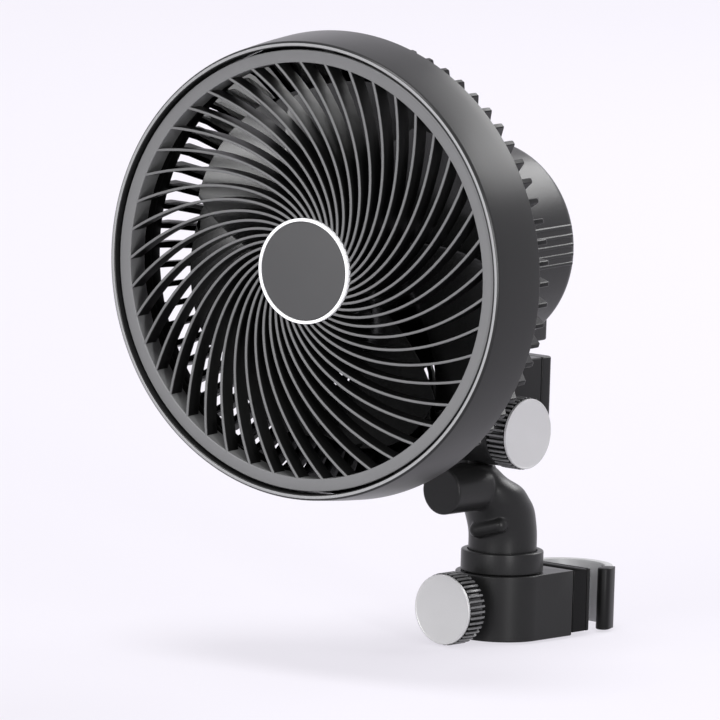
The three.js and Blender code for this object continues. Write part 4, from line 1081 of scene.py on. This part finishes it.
def over(material, mask, tone):
    """Lays a second tone over a finish where a mask is 1."""
    tree = material.node_tree
    colour = tree.nodes["Principled BSDF"].inputs["Base Color"]
    mix = add(tree, "ShaderNodeMix", data_type="RGBA")
    mix.inputs["B"].default_value = (*tone, 1)
    tree.links.new(colour.links[0].from_socket, mix.inputs["A"])
    tree.links.new(mask, mix.inputs["Factor"])
    tree.links.new(mix.outputs["Result"], colour)


def painted_edge_highlight_and_shade(name, edge, side, rough, near, far, **shader_values):
    """A finish with painted light, pale along the foremost edge, as far back as `near` millimetres behind
    the front ring, and with the tone `side` from `far` on. The shroud's pale lip edge is a painted
    highlight, and the black sides of the vanes are painted shade."""
    material = surface(name, edge, edge, rough, depth=0.1, **shader_values)
    behind = placed_group(material.node_tree, FRONT, Near=near * MM, Far=far * MM)
    # painted light: the pale edge tone in front, the tone `side` behind
    over(material, behind.outputs["Depth"], side)
    return material


def painted_highlight_grip(name, middle, across):
    """The finish of a knob's grip: black between the teeth, and a painted highlight in grey on their tops.
    """
    material = surface(name, grey(0.005), grey(0.008), 0.28, depth=0.1, Specular_IOR_Level=0.35)
    on_axis = tuple(float(value) * MM for value in middle)
    ring = placed_group(material.node_tree, AXIS, Middle=on_axis, Across=across,
                        Near=(KNOB_R - 0.7) * MM, Far=(KNOB_R - 0.2) * MM)
    # painted highlight: the tooth tops turn grey from 0.7 mm inside the knob's radius outwards
    over(material, ring.outputs["Distance"], grey(0.13))
    return material


FINISHES = {
    "charcoal": surface("charcoal_plastic", grey(0.011), grey(0.015), 0.30, dust=0.02,
                        Specular_IOR_Level=0.14),
    "stem": surface("stem_plastic", grey(0.010), grey(0.014), 0.34, depth=0.2, dust=0.01,
                    Specular_IOR_Level=0.2),
    # the knob grips carry a painted highlight on their tooth tops
    "tilt_grip": painted_highlight_grip("tilt_grip_plastic", TILT_AT, (0, 1, 1)),
    "clamp_grip": painted_highlight_grip("clamp_grip_plastic", STEM_AT + [0, 0, SCREW_Z], (1, 0, 1)),
    "black": surface("black_plastic", grey(0.004), grey(0.006), 0.3, depth=0.15, Specular_IOR_Level=0.07),
    "ring_grey": surface("guard_plastic", grey(0.115), grey(0.128), 0.45, depth=0.15),
    # painted highlight: the front rim of the lip is pale grey, the rest of the shroud its own charcoal
    "shroud": painted_edge_highlight_and_shade("shroud_plastic", grey(0.26), grey(0.013), 0.30, -1.95, -1.85,
                           Specular_IOR_Level=0.2),
    # painted shade: the vanes keep the guard's grey on their front edges and are black behind it, for the
    # shade in the deep grooves
    "vanes": painted_edge_highlight_and_shade("vane_plastic", grey(0.13), grey(0.005), 0.32, 0.2, 0.8, Specular_IOR_Level=0.15),
    "blade_black": surface("blade_gloss", grey(0.010), grey(0.014), 0.22, depth=0.02, drift=0.05,
                           Specular_IOR_Level=0.5),
    "badge_face": surface("badge_satin", grey(0.052), grey(0.057), 0.45, depth=0.1, Specular_IOR_Level=0.3),
    "badge_edge": surface("badge_white", (0.85, 0.85, 0.86), (0.78, 0.78, 0.79), 0.35, depth=0.05),
    "knob_disc": surface("disc_silver", (0.52, 0.52, 0.52), (0.48, 0.48, 0.48), 0.42, scale=1400,
                         depth=0.35, Metallic=0.3),
    "hook_metal": surface("hook_paint", grey(0.50), grey(0.54), 0.42, depth=0.25),
    "rubber": surface("soft_rubber", grey(0.005), grey(0.007), 0.4, scale=700, Specular_IOR_Level=0.15),
    "steel": surface("plated_steel", (0.55, 0.56, 0.58), (0.46, 0.47, 0.49), 0.28, depth=0.1, Metallic=1.0),
    "cast_alloy": surface("cast_alloy", (0.50, 0.50, 0.51), (0.42, 0.42, 0.43), 0.5, scale=500,
                          depth=0.4, Metallic=1.0),
    "core": surface("laminated_core", grey(0.10), grey(0.07), 0.45, scale=600, Metallic=0.6),
    "copper": surface("copper_wire", (0.62, 0.26, 0.11), (0.5, 0.19, 0.08), 0.3, scale=500, depth=0.5,
                      Metallic=1.0),
    "board": surface("circuit_board", (0.02, 0.12, 0.05), (0.015, 0.09, 0.04), 0.4, depth=0.1),
    "nylon": surface("natural_nylon", (0.74, 0.71, 0.62), (0.66, 0.63, 0.55), 0.45, depth=0.1),
}


# ------------------------------------------------------------------ the object

def dress_nodes():
    """Every piece that keeps its own shape gets the finish of its slot."""
    slots = {entry["node"]: entry["material_slot"] for entry in frame["record"]["subparts"]}
    for name, node in frame["nodes"].items():
        node.data.materials.clear()
        node.data.materials.append(FINISHES[slots[name]])


def build_head():
    """The pieces that swing with the head, and the fan wheel in it."""
    front_guard(FINISHES["ring_grey"], FINISHES["vanes"])
    badge(FINISHES["badge_face"], FINISHES["badge_edge"])
    shroud(FINISHES["shroud"])
    rear_guard(FINISHES["black"])
    fan_wheel(FINISHES["blade_black"])
    motor_cover(FINISHES["charcoal"], FINISHES["rubber"])


def build_support():
    """The neck, the tilting stem, the knobs and the clamp."""
    neck(FINISHES["charcoal"])
    gearbox(FINISHES["charcoal"], FINISHES["steel"])
    knobs(FINISHES["tilt_grip"], FINISHES["clamp_grip"], FINISHES["knob_disc"])
    elbow(FINISHES["stem"])
    clamp_block(FINISHES["stem"], FINISHES["steel"])
    clamp_screw(FINISHES["steel"])
    hook(FINISHES["hook_metal"], FINISHES["rubber"])
    jaw(FINISHES["black"], FINISHES["rubber"])


# ------------------------------------------------------------------ floor, lights and camera

FLOOR_HALF = 3.0
FLOOR_COLOUR = (0.74, 0.72, 0.775, 1)
FLOOR_GLOW = (0.94, 0.914, 0.985, 1)
GLOW_SHARE = 0.7
SURROUND = (0.94, 0.918, 0.98, 1)
SURROUND_LIGHT = 0.22
LIT_MIDDLE = Vector((0.02, -0.12, 0.13))


def background_ray(tree):
    """1 for rays from the camera and rays mirrored or bent by the object, 0 for rays that light it."""
    path = add(tree, "ShaderNodeLightPath")
    first = add(tree, "ShaderNodeMath", operation="ADD")
    second = add(tree, "ShaderNodeMath", operation="ADD", use_clamp=True)
    wire(
        tree,
        (path, "Is Camera Ray", first, 0),
        (path, "Is Glossy Ray", first, 1),
        (first, 0, second, 0),
        (path, "Is Transmission Ray", second, 1),
    )
    return second.outputs[0]


def floor():
    """A pale floor just under the object. The camera, mirrors and glass see it nearly white, and it
    keeps the object's shadow."""
    mesh = bpy.data.meshes.new("floor")
    low = cad_box[0][2] - 0.0005
    corners = [(-FLOOR_HALF, -FLOOR_HALF, low), (FLOOR_HALF, -FLOOR_HALF, low),
               (FLOOR_HALF, FLOOR_HALF, low), (-FLOOR_HALF, FLOOR_HALF, low)]
    mesh.from_pydata(corners, [], [(0, 1, 2, 3)])
    obj = bpy.data.objects.new("floor", mesh)
    bpy.context.scene.collection.objects.link(obj)
    material, tree, principled = shader("floor_white")
    principled.inputs["Base Color"].default_value = FLOOR_COLOUR
    principled.inputs["Roughness"].default_value = 0.9
    glow = add(tree, "ShaderNodeEmission")
    glow.inputs["Color"].default_value = FLOOR_GLOW
    share = add(tree, "ShaderNodeMath", operation="MULTIPLY")
    share.inputs[1].default_value = GLOW_SHARE
    mix = add(tree, "ShaderNodeMixShader")
    tree.links.new(background_ray(tree), share.inputs[0])
    wire(
        tree,
        (share, 0, mix, "Fac"),
        (principled, "BSDF", mix, 1),
        (glow, "Emission", mix, 2),
        (mix, "Shader", tree.nodes["Material Output"], "Surface"),
    )
    mesh.materials.append(material)


def world():
    """An even pale surround: white for the camera, mirrors and glass, softer as light."""
    scene_world = bpy.data.worlds.new("surround")
    bpy.context.scene.world = scene_world
    scene_world.use_nodes = True
    tree = scene_world.node_tree
    background = tree.nodes["Background"]
    background.inputs["Color"].default_value = SURROUND
    strength = add(tree, "ShaderNodeMapRange", To_Min=SURROUND_LIGHT, To_Max=1.0)
    tree.links.new(background_ray(tree), strength.inputs["Value"])
    tree.links.new(strength.outputs["Result"], background.inputs["Strength"])


def aimed(name, light, azimuth, rise, away):
    """Puts a light on a ball round the object and aims it at its middle; azimuth in degrees to the right
    of the front, rise in degrees above the floor, away in metres."""
    turn, up = math.radians(azimuth), math.radians(rise)
    toward = Vector((math.sin(turn) * math.cos(up), -math.cos(turn) * math.cos(up), math.sin(up)))
    obj = bpy.data.objects.new(name, light)
    obj.location = LIT_MIDDLE + away * toward
    obj.rotation_mode = "QUATERNION"
    obj.rotation_quaternion = toward.to_track_quat("Z", "Y")
    bpy.context.scene.collection.objects.link(obj)


def panel(name, azimuth, rise, away, wide, tall, power):
    """A lit rectangle, its size in metres and its power in watts."""
    light = bpy.data.lights.new(name, "AREA")
    light.shape = "RECTANGLE"
    light.size, light.size_y = wide, tall
    light.energy = power
    aimed(name, light, azimuth, rise, away)


def daylight(name, azimuth, rise, spread, strength):
    """A far light: the same on the whole floor, its shadows as soft as its spread in degrees."""
    light = bpy.data.lights.new(name, "SUN")
    light.energy = strength
    light.angle = math.radians(spread)
    aimed(name, light, azimuth, rise, 3)


def lights():
    """Two broad lights from above and from the front, a strip whose reflection edges the right side,
    and a panel behind."""
    daylight("from_above", 20, 72, 24, 1.9)
    daylight("from_the_front", 6, 16, 30, 2.15)
    panel("strip", 64, 6, 1.3, 0.14, 0.7, 10)
    panel("behind", 172, 31, 3.0, 2.4, 0.8, 50)


# The photograph's camera: where it looks from, and where the middle of the front ring falls in it.
CAMERA_AZIMUTH = math.radians(40.5)
CAMERA_RISE = math.radians(7.5)
CAMERA_ROLL = math.radians(1.8)
CAMERA_LENS = 540.9
CAMERA_SENSOR = 36.0
CAMERA_AWAY = 4.5
PICTURE = 720
RING_PIXEL = (304.6, 271.0)


def camera():
    """The camera stands CAMERA_AWAY in front of the ring's middle, moved sideways by the ring's offset in
    the picture: offset in pixels times distance times sensor / lens / picture width."""
    toward = Vector((math.sin(CAMERA_AZIMUTH) * math.cos(CAMERA_RISE),
                     -math.cos(CAMERA_AZIMUTH) * math.cos(CAMERA_RISE), math.sin(CAMERA_RISE)))
    level = Vector((math.cos(CAMERA_AZIMUTH), math.sin(CAMERA_AZIMUTH), 0))
    upright = toward.cross(level)
    right = math.cos(CAMERA_ROLL) * level + math.sin(CAMERA_ROLL) * upright
    up = math.cos(CAMERA_ROLL) * upright - math.sin(CAMERA_ROLL) * level
    ring = Vector((from_head(np.zeros(3)) * MM).tolist())
    per_pixel = CAMERA_AWAY * CAMERA_SENSOR / CAMERA_LENS / PICTURE
    aside = (RING_PIXEL[0] - PICTURE / 2) * per_pixel
    above = (PICTURE / 2 - RING_PIXEL[1]) * per_pixel
    data = bpy.data.cameras.new("camera")
    data.lens = CAMERA_LENS
    data.sensor_width = CAMERA_SENSOR
    data.clip_start, data.clip_end = 0.1, 20
    obj = bpy.data.objects.new("camera", data)
    turn = Matrix((right, up, toward)).transposed().to_4x4()
    obj.matrix_world = Matrix.Translation(ring + toward * CAMERA_AWAY - aside * right - above * up) @ turn
    bpy.context.scene.collection.objects.link(obj)
    bpy.context.scene.camera = obj


camera()
dress_nodes()
build_head()
build_support()
floor()
world()
lights()
bpy.context.scene.view_settings.view_transform = "Standard"
